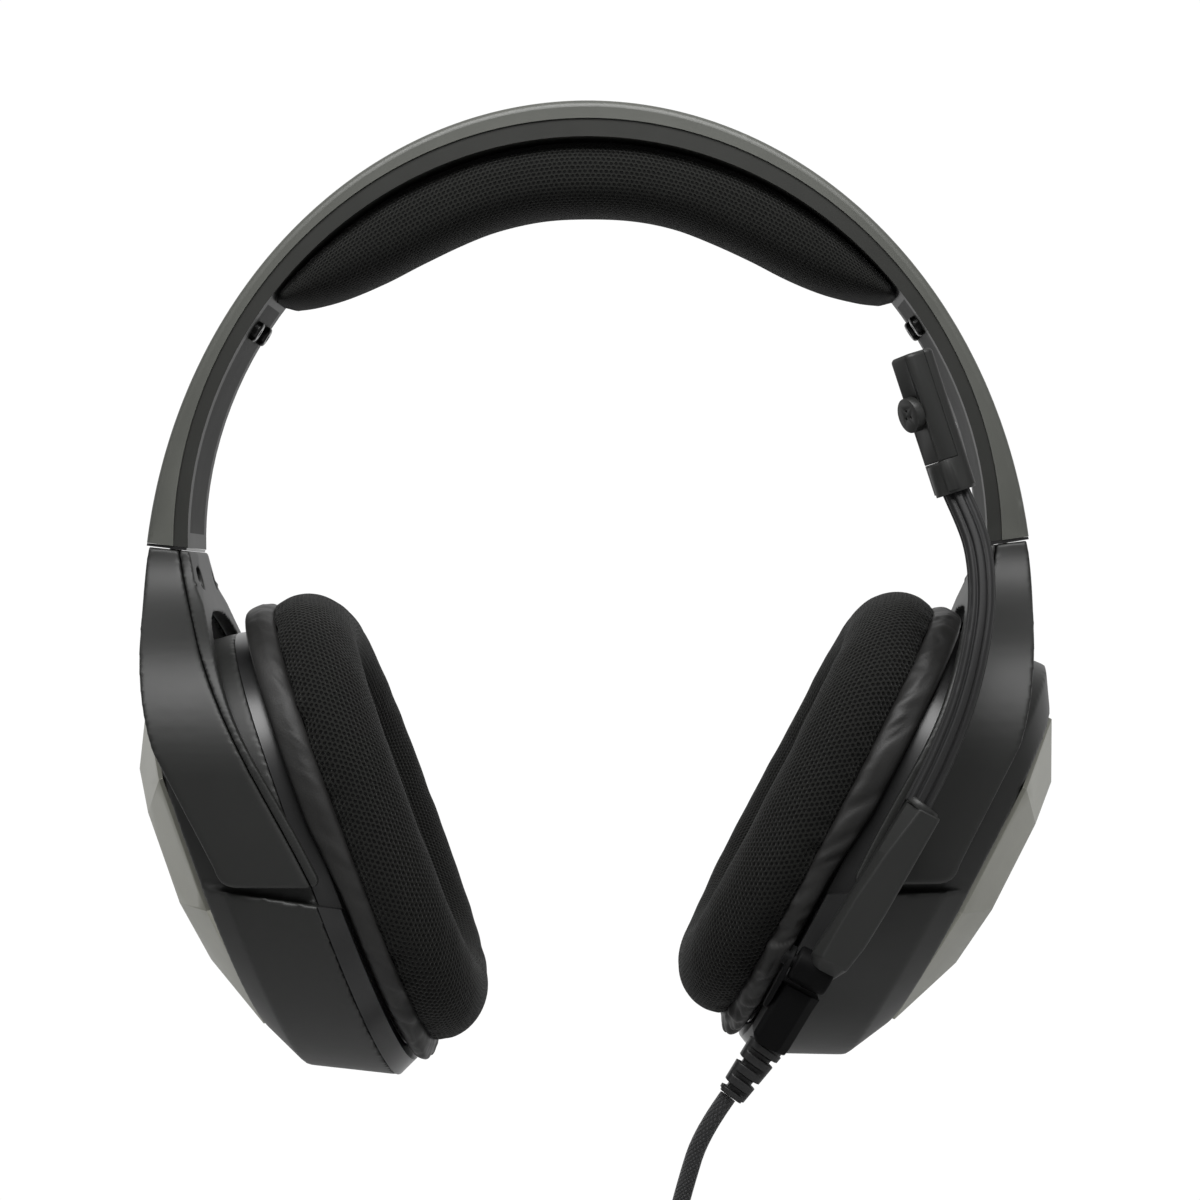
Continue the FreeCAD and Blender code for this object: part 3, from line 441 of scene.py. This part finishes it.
def bevelled(node, width, segments=3, angle=25.0, flat=0.5):
    """A copy of a CAD node's mesh with flat faces joined and sharp edges bevelled."""
    mesh = NODES[node].data.copy()
    work = bmesh.new()
    work.from_mesh(mesh)
    bmesh.ops.remove_doubles(work, verts=work.verts, dist=1e-6)
    bmesh.ops.dissolve_limit(work, angle_limit=math.radians(flat), verts=work.verts, edges=work.edges)
    work.to_mesh(mesh)
    work.free()
    mesh.shade_smooth()
    mesh = modified(mesh, ("BEVEL", {"width": width * MM, "segments": segments, "limit_method": "ANGLE",
                                     "angle_limit": math.radians(angle), "harden_normals": True,
                                     "use_clamp_overlap": True}))
    return mesh


def body_of_node(node):
    for body, nodes in frame["record"]["behaviour"]["bodies"].items():
        if node in nodes:
            return body
    return None


def stand_in(node, mesh, made):
    """A softened or bevelled mesh shown instead of its CAD node."""
    return show(node + "_shown", mesh, made, body_of_node(node), (node,))


# ---- floor ---------------------------------------------------------------------------
FLOOR_Z = -0.33
FLOOR_REACH = 0.6
FLOOR_SIDES = 96
floor_mesh = bpy.data.meshes.new("floor")
floor_ring = []
for k in range(FLOOR_SIDES):
    turn = 2.0 * math.pi * k / FLOOR_SIDES
    floor_ring.append((FLOOR_REACH * math.cos(turn), FLOOR_REACH * math.sin(turn), FLOOR_Z))
floor_mesh.from_pydata(floor_ring, [], [tuple(range(FLOOR_SIDES))])
floor = bpy.data.objects.new("floor", floor_mesh)
bpy.context.scene.collection.objects.link(floor)
paint(floor, material("floor", (0.8, 0.8, 0.8), 0.8))

# ---- cord: the lead, its put-away coil and the plug -------------------------------------
LEFT_TILT = 28.0
RIGHT_TILT = 20.0
PIVOT = Vector((66.0, 0.0, -131.0))


def cup_place(side, tilt):
    """From a cup's upright frame, in mm, to the row frame, in mm."""
    turned = Matrix.Translation(PIVOT) @ Matrix.Rotation(math.radians(tilt), 4, "Y")
    return Matrix.Diagonal((side, 1.0, 1.0, 1.0)) @ turned


LEFT_PLACE = cup_place(1.0, LEFT_TILT)
PLACES = {"left": LEFT_PLACE, "right": cup_place(-1.0, RIGHT_TILT)}
CABLE_DIAMETER = 3.5
RELIEF_LEAN = math.radians(36.0)
RELIEF_LENGTH = 12.6
relief_top = LEFT_PLACE @ Vector((-10.3, -44.6, -46.6))
relief_along = Vector((-math.sin(RELIEF_LEAN), 0.0, -math.cos(RELIEF_LEAN)))
relief_end = relief_top + relief_along * RELIEF_LENGTH
COIL_CENTRE = Vector((37.0, -44.0, -227.5))
COIL_TURNS = 9
TURN_POINTS = 14
ROWS = 4
OUTER_TURN = 24.3
INNER_TURN = 16.4
ROW_GAP = 3.55


def coil_points():
    """Turns wound in and out in rows that lie beside each other."""
    points = []
    per_row = COIL_TURNS / ROWS
    for k in range(1, COIL_TURNS * TURN_POINTS + 1):
        turns = k / TURN_POINTS
        row = min(int(turns / per_row), ROWS - 1)
        share = turns / per_row - row
        radius = OUTER_TURN + (INNER_TURN - OUTER_TURN) * (share if row % 2 == 0 else 1.0 - share)
        edge = min(1.0, max(0.0, (turns - round(turns / per_row) * per_row) / 0.5 + 0.5))
        nearest = round(turns / per_row)
        level = row
        if 0 < nearest < ROWS and abs(turns - nearest * per_row) < 0.25:
            level = nearest - 1 + edge
        turn = math.pi + 2.0 * math.pi * turns
        points.append(COIL_CENTRE + Vector((radius * math.cos(turn), (level - (ROWS - 1) / 2.0) * ROW_GAP,
                                            radius * math.sin(turn))))
    return points


lead_points = [relief_end, relief_end + relief_along * 9.0, Vector((19.3, -44.0, -194.4)),
               Vector((16.9, -44.4, -203.2)), Vector((14.4, -46.6, -211.8)),
               Vector((12.9, -49.2, -220.0))]
plug_points = [Vector((12.2, -41.2, -232.6)), Vector((12.0, -43.6, -236.6))]
cord_points = lead_points + coil_points() + plug_points
cord_curve = bpy.data.curves.new("cable", "CURVE")
cord_curve.dimensions = "3D"
spline = cord_curve.splines.new("NURBS")
spline.points.add(len(cord_points) - 1)
for point, place in zip(spline.points, cord_points):
    point.co = (*(place * MM), 1.0)
spline.order_u = 3
spline.use_endpoint_u = True
spline.resolution_u = 6
cord_curve.bevel_depth = CABLE_DIAMETER / 2.0 * MM
cord_curve.bevel_resolution = 4
cord_curve.use_fill_caps = True
BRAID = braid_material("braid", (0.0052, 0.0053, 0.0058), 1250.0, 12)
cable = bpy.data.objects.new("cable", cord_curve)
bpy.context.scene.collection.objects.link(cable)
paint(cable, BRAID)
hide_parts("main_cable", "cable_coil")
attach(cable, "left_cup")


def lathe(profile, start, along, count=40):
    """A turned shape: profile of (distance along, radius), in mm."""
    along = along.normalized()
    side = along.orthogonal().normalized()
    other = along.cross(side)
    return [[start + along * at + (side * math.cos(2 * math.pi * k / count)
                                   + other * math.sin(2 * math.pi * k / count)) * radius
             for k in range(count)] for at, radius in profile]


grip_profile = [(0.0, 1.9), (0.3, 2.3), (3.0, 2.7), (3.2, 2.3), (4.2, 2.3), (4.4, 2.9), (6.4, 3.2),
                (6.6, 2.8), (7.4, 2.8), (7.7, 3.7), (8.4, 4.0)]
grip_profile += [(8.9 + 0.9 * k + shift, radius) for k in range(9)
                 for shift, radius in ((0.0, 4.0), (0.25, 3.78), (0.5, 3.78), (0.75, 4.0))]
grip_profile += [(20.0, 4.0), (25.9, 3.95), (26.5, 3.5), (26.5, 0.2)]
GRIP_START = Vector((11.9, -44.0, -235.5))
GRIP_WAY = Vector((-1.5, 0.0, -26.5))
plug_grip = show("plug_grip_shown",
                 grid("plug_grip_shown", lathe(grip_profile, GRIP_START, GRIP_WAY), wrap_rows=False,
                      cap=True), RUBBER, "left_cup", ("plug_grip",))

# The tie is a flat band round the side of the coil.
TIE_SHIFT = -20.2
TIE_HALF_WIDE = 6.6
TIE_HALF_DEEP = 7.9
TIE_HALF_HIGH = 3.4
TIE_THICK = 0.9
tie_rows = []
for k in range(64):
    turn = 2.0 * math.pi * k / 64
    cosine, sine = math.cos(turn), math.sin(turn)
    ring = []
    for out, height in ((0.0, -TIE_HALF_HIGH), (0.0, TIE_HALF_HIGH), (TIE_THICK, TIE_HALF_HIGH),
                        (TIE_THICK, -TIE_HALF_HIGH)):
        wide = TIE_HALF_WIDE + out
        deep = TIE_HALF_DEEP + out
        ring.append(COIL_CENTRE + Vector((TIE_SHIFT + wide * math.copysign(abs(cosine) ** 0.6, cosine),
                                          deep * math.copysign(abs(sine) ** 0.6, sine), height)))
    tie_rows.append(ring)
tie_mesh = modified(grid("coil_tie_shown", tie_rows), ("BEVEL", {"width": 0.2 * MM, "segments": 2}))
tie_mesh.shade_flat()
coil_tie = show("coil_tie_shown", tie_mesh, RUBBER, "left_cup", ("coil_tie",))

# ---- ear pads ---------------------------------------------------------------------------
OUTLINE_POWER = 2.5
# Half width, lowest and highest point of each pad's outline; the right pad stands a little taller.
PAD_OUTLINE = (41.6, -49.0, 46.6)
RAISED_OUTLINE = (41.6, -49.0, 47.9)


def oval(turn, inset, outline=PAD_OUTLINE):
    """A point (y, z) of the pad's rounded outline, moved inward."""
    half, low, high = outline[0] - inset, outline[1] + inset, outline[2] - inset
    cosine, sine = math.cos(turn), math.sin(turn)
    return (half * math.copysign(abs(cosine) ** (2.0 / OUTLINE_POWER), cosine),
            (high + low) / 2.0 + (high - low) / 2.0 * math.copysign(abs(sine) ** (2.0 / OUTLINE_POWER),
                                                                     sine))


def even_turns(count, inset=6.0):
    """Turns that give evenly spaced points round the outline."""
    fine = 3000
    lengths = [0.0]
    before = oval(0.0, inset)
    for k in range(1, fine + 1):
        now = oval(2.0 * math.pi * k / fine, inset)
        lengths.append(lengths[-1] + math.dist(before, now))
        before = now
    turns, at = [], 0
    for k in range(count):
        want = lengths[-1] * k / count
        while lengths[at + 1] < want:
            at += 1
        share = (want - lengths[at]) / (lengths[at + 1] - lengths[at])
        turns.append(2.0 * math.pi * (at + share) / fine)
    return turns


def wave(place, scale, seed):
    """A repeatable smooth value from -1 to 1 at a point in mm."""
    return noise.noise(Vector(place) / scale + Vector((seed * 7.3, seed * 3.1, seed * 5.7)))


KNIT_PROFILE = [(0.9, -18.5), (0.15, -20.0), (-0.25, -22.4), (0.35, -25.4), (2.2, -28.4), (5.2, -30.9),
                (8.8, -32.2), (12.0, -32.0), (15.2, -30.3), (17.6, -27.2), (18.9, -23.2), (19.3, -19.0),
                (19.0, -15.8), (17.0, -16.2), (10.0, -17.6), (3.0, -18.3)]


def knit_rows(seed, outline):
    """The knit cushion: a crowned ring with soft, uneven fill and a gathered lower edge."""
    rows = []
    profile = curve_through([(inset, u, 0.0) for inset, u in KNIT_PROFILE], 64, closed=True)
    for turn in even_turns(240):
        y0, z0 = oval(turn, 8.0, outline)
        ring = []
        fill = 0.45 * wave((y0, z0, 0), 26.0, seed) + 0.2 * wave((y0, z0, 3), 9.0, seed)
        for point in profile:
            inset, u = point[0], point[1]
            crown = max(0.0, min(1.0, (-19.0 - u) / 8.0))
            gather = math.exp(-((u + 19.2) / 1.6) ** 2) * (1.0 if inset < 6.0 else 0.0)
            pleat = gather * 0.6 * wave((y0, z0, 11), 2.6, seed)
            y, z = oval(turn, inset - fill * 0.35 * crown - pleat, outline)
            dimple = 0.22 * wave((y, z, u), 6.0, seed + 2) * crown
            scallop = gather * 0.7 * wave((y0, z0, 21), 3.4, seed + 6)
            ring.append(Vector((u - crown * (fill * 0.5 + dimple) + scallop, y, z)))
        rows.append(ring)
    return rows


SKIRT_PROFILE = [(1.3, -18.45), (0.2, -18.1), (-0.55, -17.0), (-0.85, -15.7), (-0.7, -14.4), (0.0, -13.9),
                 (1.6, -13.95), (2.6, -15.2), (2.4, -17.4)]


def skirt_rows(seed, slack, outline):
    """The leatherette wall: a soft roll that puckers where it is sewn to the knit."""
    rows = []
    profile = curve_through([(inset, u, 0.0) for inset, u in SKIRT_PROFILE], 44, closed=True)
    for turn in even_turns(460):
        y0, z0 = oval(turn, 0.0, outline)
        upper = max(0.0, min(1.0, (z0 + 12.0) / 16.0))
        low = 1.0 - max(0.0, min(1.0, (z0 + 34.0) / 44.0))
        foot = max(0.0, min(1.0, (-38.0 - z0) / 9.0))
        loose = slack * (0.4 + 0.8 * low)
        ring = []
        for point in profile:
            inset, u = point[0], point[1]
            if u > -15.2:
                u += 1.5 * upper * (u + 15.2) / 1.3
            seam = max(0.0, min(1.0, (-15.6 - u) / 2.8))
            outward = max(0.0, min(1.0, (1.4 - inset) / 1.4))
            middle = math.exp(-((u + 15.6) / 1.7) ** 2)
            slant = (u + 16.0) * 0.9
            roll = wave((y0, z0 - slant * 0.8, 0.0), 11.0, seed) * 0.6
            ridge = wave((y0 * 0.9, z0 - slant * 1.5, u * 0.2), 4.4, seed + 9)
            ridge = ridge * (0.35 + 0.65 * seam) - 0.9 * max(0.0, 0.22 - abs(ridge)) * (0.4 + middle)
            pleat = wave((y0, z0 - slant * 0.6, 2.0), 1.8, seed + 5) * 0.5 * seam
            fold = roll + ridge * 2.0 + pleat
            y, z = oval(turn, inset - outward * (loose * fold + 1.7 * foot * middle), outline)
            shove = loose * 0.7 * seam * outward * wave((y0, z0, 1.0), 3.0, seed + 3)
            ring.append(Vector((u + shove, y, z)))
        rows.append(ring)
    return rows


SCRIM_INSET = 16.6
SCRIM_MIDDLE = -1.2
SCRIM_DEPTH = -15.35
SCRIM_DOME = 0.5
SCRIM_RINGS = 13


def scrim_rows():
    """The cloth over the driver: a shallow dome inside the pad's opening."""
    rows = []
    for k in range(SCRIM_RINGS):
        share = k / (SCRIM_RINGS - 1.0)
        reach = max(share, 0.002)
        ring = []
        for turn in even_turns(96, SCRIM_INSET):
            y, z = oval(turn, SCRIM_INSET)
            ring.append(Vector((SCRIM_DEPTH - SCRIM_DOME * (1.0 - share ** 2), y * reach,
                                SCRIM_MIDDLE + (z - SCRIM_MIDDLE) * reach)))
        rows.append(ring)
    return rows


for side, seed, slack, outline in (("left", 1, 1.0, PAD_OUTLINE), ("right", 4, 0.5, RAISED_OUTLINE)):
    place = PLACES[side]
    knit = show(side + "_pad_knit", grid(side + "_pad_knit", knit_rows(seed, outline), place=place), KNIT,
                side + "_cup", (side + "_ear_pad_knit",))
    skirt_mesh = grid(side + "_pad_skirt", skirt_rows(seed, slack, outline), place=place)
    skirt = show(side + "_pad_skirt", skirt_mesh, LEATHER, side + "_cup",
                 (side + "_ear_pad_skirt",))
    scrim = show(side + "_scrim", grid(side + "_scrim", scrim_rows(), wrap_rows=False, place=place),
                 KNIT, side + "_cup", (side + "_driver_scrim",))

# ---- head pad -----------------------------------------------------------------------------
ARCH_HALF_WIDTH = 91.2
ARCH_HEIGHT = 105.4
ARCH_CENTRE_Z = -82.6
PAD_LOW = [(0.0, 0.1), (9.4, -0.4), (18.0, -2.2), (26.0, -5.2), (34.0, -9.0), (42.0, -13.0),
           (50.0, -16.3), (57.0, -18.0), (62.0, -18.3)]
PAD_HALF_ANGLE = 49.2
PAD_HALF_WIDTH = 15.2
PAD_GAP = 0.12
NOSE_SHARE = 0.038


def arch_point(angle, inset):
    """A point of the headband's arch, measured inward from its outer ellipse."""
    turn = math.radians(angle)
    x, z = ARCH_HALF_WIDTH * math.sin(turn), ARCH_HEIGHT * math.cos(turn)
    normal = Vector((x / ARCH_HALF_WIDTH ** 2, 0.0, z / ARCH_HEIGHT ** 2)).normalized()
    return Vector((x, 0.0, z + ARCH_CENTRE_Z)) - normal * inset


def band_thickness(angle):
    """How far the rim's inner face lies under the band's outer one, thinner towards the ends."""
    share = angle / 81.5
    return 7.4 - 8.2 * share ** 2 + 9.4 * share ** 4


def head_pad_rows():
    """Stations along the band, each a soft rounded section between the band and the head."""
    low = [Vector((-x, 0.0, z)) for x, z in reversed(PAD_LOW)]
    low += [Vector((x, 0.0, z)) for x, z in PAD_LOW[1:]]
    low_line = curve_through(low, 161)
    rows = []
    for k, bottom in enumerate(low_line):
        at = 2.0 * k / (len(low_line) - 1) - 1.0
        angle = PAD_HALF_ANGLE * at
        top = arch_point(angle, band_thickness(angle) + PAD_GAP)
        nose = max(0.0, (abs(at) - 1.0 + NOSE_SHARE) / NOSE_SHARE)
        shrink = math.sqrt(max(0.0, 1.0 - nose ** 2)) * 0.98 + 0.02
        middle = (top + bottom) * 0.5
        middle = middle + (top - middle) * (1.0 - shrink) * 0.6
        half = (top - bottom) * 0.5
        ring = []
        for j in range(56):
            turn = 2.0 * math.pi * j / 56
            cosine, sine = math.cos(turn), math.sin(turn)
            power = 2.0 / (3.8 if sine > 0 else 2.35)
            wide = math.copysign(abs(cosine) ** power, cosine)
            tall = math.copysign(abs(sine) ** power, sine)
            tuck = 1.0 - 0.045 * max(0.0, tall) ** 2
            spot = middle + half * tall * shrink
            soft = 0.3 * wave((spot.x, 15.0 * wide, spot.z), 13.0, 3) * (1.0 if tall < 0.8 else 0.0)
            half_wide = PAD_HALF_WIDTH * tuck * (0.55 + 0.45 * shrink) + soft
            spot = spot + Vector((0.0, half_wide * wide, 0.0))
            spot = spot - half.normalized() * (-soft * 0.6 * (1.0 if tall < 0.0 else 0.0))
            ring.append(spot)
        rows.append(ring)
    return rows


head_pad = show("head_pad_cushion", grid("head_pad_cushion", head_pad_rows(), wrap_rows=False, cap=True),
                KNIT, "headband", ("head_pad",))

# ---- boom ------------------------------------------------------------------------------------
BOOM_ROUTE = [Vector((64.9, -52.3, -119.9)), Vector((69.5, -52.2, -110.7)), Vector((73.6, -51.6, -100.7)),
              Vector((76.5, -50.2, -90.2)), Vector((78.1, -48.0, -79.4)), Vector((77.3, -45.2, -68.6)),
              Vector((73.4, -42.2, -58.0))]
route = curve_through(BOOM_ROUTE, 90)
NECK_POINTS = 98
NECK_RIDGES = 7.0
NECK_RADIUS = 2.75
NECK_GROOVE = 0.6
neck_rows = []
side_way = Vector((0.0, -1.0, 0.0))
for k, spot in enumerate(route):
    ahead = route[min(k + 1, len(route) - 1)] - route[max(k - 1, 0)]
    ahead.normalize()
    first = (side_way - ahead * side_way.dot(ahead)).normalized()
    second = ahead.cross(first)
    ring = []
    for j in range(NECK_POINTS):
        turn = 2.0 * math.pi * j / NECK_POINTS
        crest = 0.5 + 0.5 * math.cos(turn * NECK_RIDGES)
        radius = NECK_RADIUS - NECK_GROOVE * (1.0 - crest) ** 4
        ring.append(spot + (first * math.cos(turn) + second * math.sin(turn)) * radius)
    neck_rows.append(ring)
neck_mesh = grid("gooseneck", neck_rows, wrap_rows=False, cap=True)
neck = show("gooseneck", neck_mesh, RUBBER, None, ("gooseneck_lower", "gooseneck_upper"))
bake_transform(neck)

# Height on the cup, then the arm's right edge, the corner of its chamfer and its left edge.
ARM_LEVELS = [(9.0, -1.2, -5.4, -8.3), (7.4, -1.22, -5.7, -8.4), (-2.0, -1.55, -7.4, -9.0),
              (-12.4, -1.95, -8.7, -9.8), (-20.0, -2.5, -9.1, -10.4), (-25.6, -3.5, -9.2, -11.0),
              (-30.2, -5.2, -8.0, -11.4)]


def arm_rows():
    """The rigid arm: a bar with one wide chamfer that narrows towards its slanted foot."""
    rows = []
    for w, right, corner, left in ARM_LEVELS:
        foot = 1.0 if w < -28.0 else 0.0
        front = -56.0 + 5.2 * foot
        back = -48.7 + 0.8 * max(0.0, min(1.0, (9.0 - w) / 30.0))
        step = 1.0 - 0.6 * foot
        corners = [(right, front + 0.6, 0.9 * foot), (right - 0.5, front, 0.0),
                   (corner, front, -0.9 * foot), (left, front + 2.8 * step, -0.7 * foot),
                   (left, back, -0.7 * foot),
                   (right - 0.8, back, 0.9 * foot), (right, back - 0.7, 0.9 * foot)]
        rows.append([Vector((u, y, w + fall)) for u, y, fall in corners])
    return rows


arm_mesh = grid("boom_arm", arm_rows(), wrap_rows=False, place=LEFT_PLACE, cap=True)
arm_mesh = modified(arm_mesh, ("BEVEL", {"width": 0.3 * MM, "segments": 2, "limit_method": "ANGLE",
                                         "angle_limit": math.radians(20.0)}))
arm_mesh.set_sharp_from_angle(angle=math.radians(11.0))
show("boom_arm", arm_mesh, DARK, "boom", ("boom_base_arm",))
hub_profile = [(0.0, 0.3), (0.0, 3.1), (0.2, 3.5), (0.6, 3.6), (7.4, 3.6), (7.8, 3.5), (8.0, 3.1),
               (8.0, 0.3)]
hub_start = LEFT_PLACE @ Vector((-13.1, -50.2, -29.0))
hub_end = LEFT_PLACE @ Vector((-5.1, -50.2, -29.0))
# The hub takes the painted-shade block material so it reads as the shadow below the arm's foot.
show("boom_hub", grid("boom_hub", lathe(hub_profile, hub_start, hub_end - hub_start),
                      wrap_rows=False, cap=True), BLOCK_PAINTED_SHADE, "boom")
collar_start = LEFT_PLACE @ Vector((-5.3, -52.3, 8.6))
collar_way = LEFT_PLACE @ Vector((-4.9, -52.3, 10.6)) - collar_start
collar_profile = [(0.0, 0.4), (0.0, 3.4), (0.3, 3.55), (1.3, 3.5), (1.6, 3.2), (1.6, 0.4)]
show("boom_collar", grid("boom_collar", lathe(collar_profile, collar_start, collar_way),
                         wrap_rows=False, cap=True), DARK, "boom")

# ---- cable entry block and strain relief -----------------------------------------------------
# Height on the cup, then the block's left and right edges.
BLOCK_LEVELS = [(-33.6, -13.2, -5.0), (-36.0, -13.3, -5.3), (-41.0, -13.6, -5.6), (-45.2, -13.8, -5.9),
                (-46.6, -12.6, -6.2)]
block_rows = []
for w, left, right in BLOCK_LEVELS:
    block_rows.append([Vector((u, y, w)) for u, y in
                       ((left, -49.6), (left + 0.8, -50.4), (right - 1.9, -50.4), (right, -48.2),
                        (right, -36.0), (left, -36.0))])
block_mesh = modified(grid("entry_block", block_rows, wrap_rows=False, place=LEFT_PLACE, cap=True),
                      ("BEVEL", {"width": 0.35 * MM, "segments": 3, "limit_method": "ANGLE",
                                 "angle_limit": math.radians(25.0), "harden_normals": True}))
show("entry_block", block_mesh, BLOCK_PAINTED_SHADE, "left_cup",
     ("cable_entry_block",))
ear_rows = []
for w, front in ((-39.6, -48.8), (-37.5, -50.6), (-33.0, -51.6), (-29.6, -51.8), (-27.4, -50.9),
                 (-26.4, -49.4)):
    ear_rows.append([Vector((-14.6, front, w)), Vector((-13.55, front - 0.25, w)),
                     Vector((-13.55, -46.5, w)), Vector((-14.6, -46.5, w))])
ear_mesh = modified(grid("entry_ear", ear_rows, wrap_rows=False, place=LEFT_PLACE, cap=True),
                    ("BEVEL", {"width": 0.3 * MM, "segments": 3, "limit_method": "ANGLE",
                               "angle_limit": math.radians(35.0), "harden_normals": True}))
show("entry_ear", ear_mesh, BLOCK_PAINTED_SHADE, "left_cup")


def relief_rows():
    """A squarish tapered sleeve with half-round slots that alternate from side to side."""
    along = Vector((-math.sin(RELIEF_LEAN), 0.0, -math.cos(RELIEF_LEAN)))
    top = LEFT_PLACE @ Vector((-9.9, -44.6, -46.4))
    front = Vector((0.0, -1.0, 0.0))
    across = along.cross(front)
    rows = []
    for k in range(105):
        at = 0.12 * k
        ring = []
        for j in range(72):
            turn = 2.0 * math.pi * j / 72
            cosine, sine = math.cos(turn), math.sin(turn)
            radius = 3.7 - 0.075 * at
            radius /= (abs(cosine) ** 3.2 + abs(sine) ** 3.2) ** (1.0 / 3.2)
            if at < 0.5 or at > 12.0:
                radius -= 0.35
            for slot in range(4):
                inside = 0.62 - abs(at - 2.5 - 2.75 * slot)
                lean = 0.9 if slot % 2 else -0.9
                reach = math.cos(turn - lean) + 0.1
                if inside > 0.0 and reach > 0.0:
                    radius -= 1.15 * min(1.0, inside / 0.2) * min(1.0, reach / 0.2)
            ring.append(top + along * at + (front * cosine + across * sine) * radius)
        rows.append(ring)
    return rows


show("relief", grid("relief", relief_rows(), wrap_rows=False, cap=True), RUBBER, "left_cup",
     ("strain_relief",))

# ---- softened and bevelled pieces that stand in for sharp CAD nodes -----------------------------
SOFTENED = (("_yoke_outer_shell", 0.45, 4), ("_yoke_inner_shell", 0.4, 3), ("_cup_shell", 0.6, 3))
for side in SIDES:
    for ending, voxel, passes in SOFTENED:
        stand_in(side + ending, softened(side + ending, voxel, passes), DARK)
for node in ("mic_port", "mic_shell_front", "mic_shell_back"):
    stand_in(node, bevelled(node, 0.12, 2), DARK)
for side in SIDES:
    stand_in(side + "_side_plate", bevelled(side + "_side_plate", 0.7, 4, 12.0), PLATE)

# ---- CAD nodes that keep their shape ---------------------------------------------------
PLAIN = {"headband_shell": SHELL_GREY, "headband_rim": RIM_GREY, "headband_spring": STEEL,
         "headband_wire": WIRE, "cover_screws": SCREW, "boom_pin": BLOCK_PAINTED_SHADE, "volume_wheel": DARK,
         "volume_holder": DARK, "mic_element": CAN, "plug_contacts": GOLD, "plug_insulators": RUBBER}
for side in SIDES:
    PLAIN.update({side + "_inner_cover": INNER, side + "_end_cap": PIANO, side + "_size_strip": STEEL,
                  side + "_yoke_screws": SCREW, side + "_pivot_pins": STEEL,
                  side + "_cup_rim": PIANO, side + "_baffle": PIANO, side + "_cup_screws": SCREW,
                  side + "_driver_frame": DARK, side + "_driver_magnet": STEEL,
                  side + "_driver_diaphragm": FILM})
for node, made in PLAIN.items():
    paint(NODES[node], made)
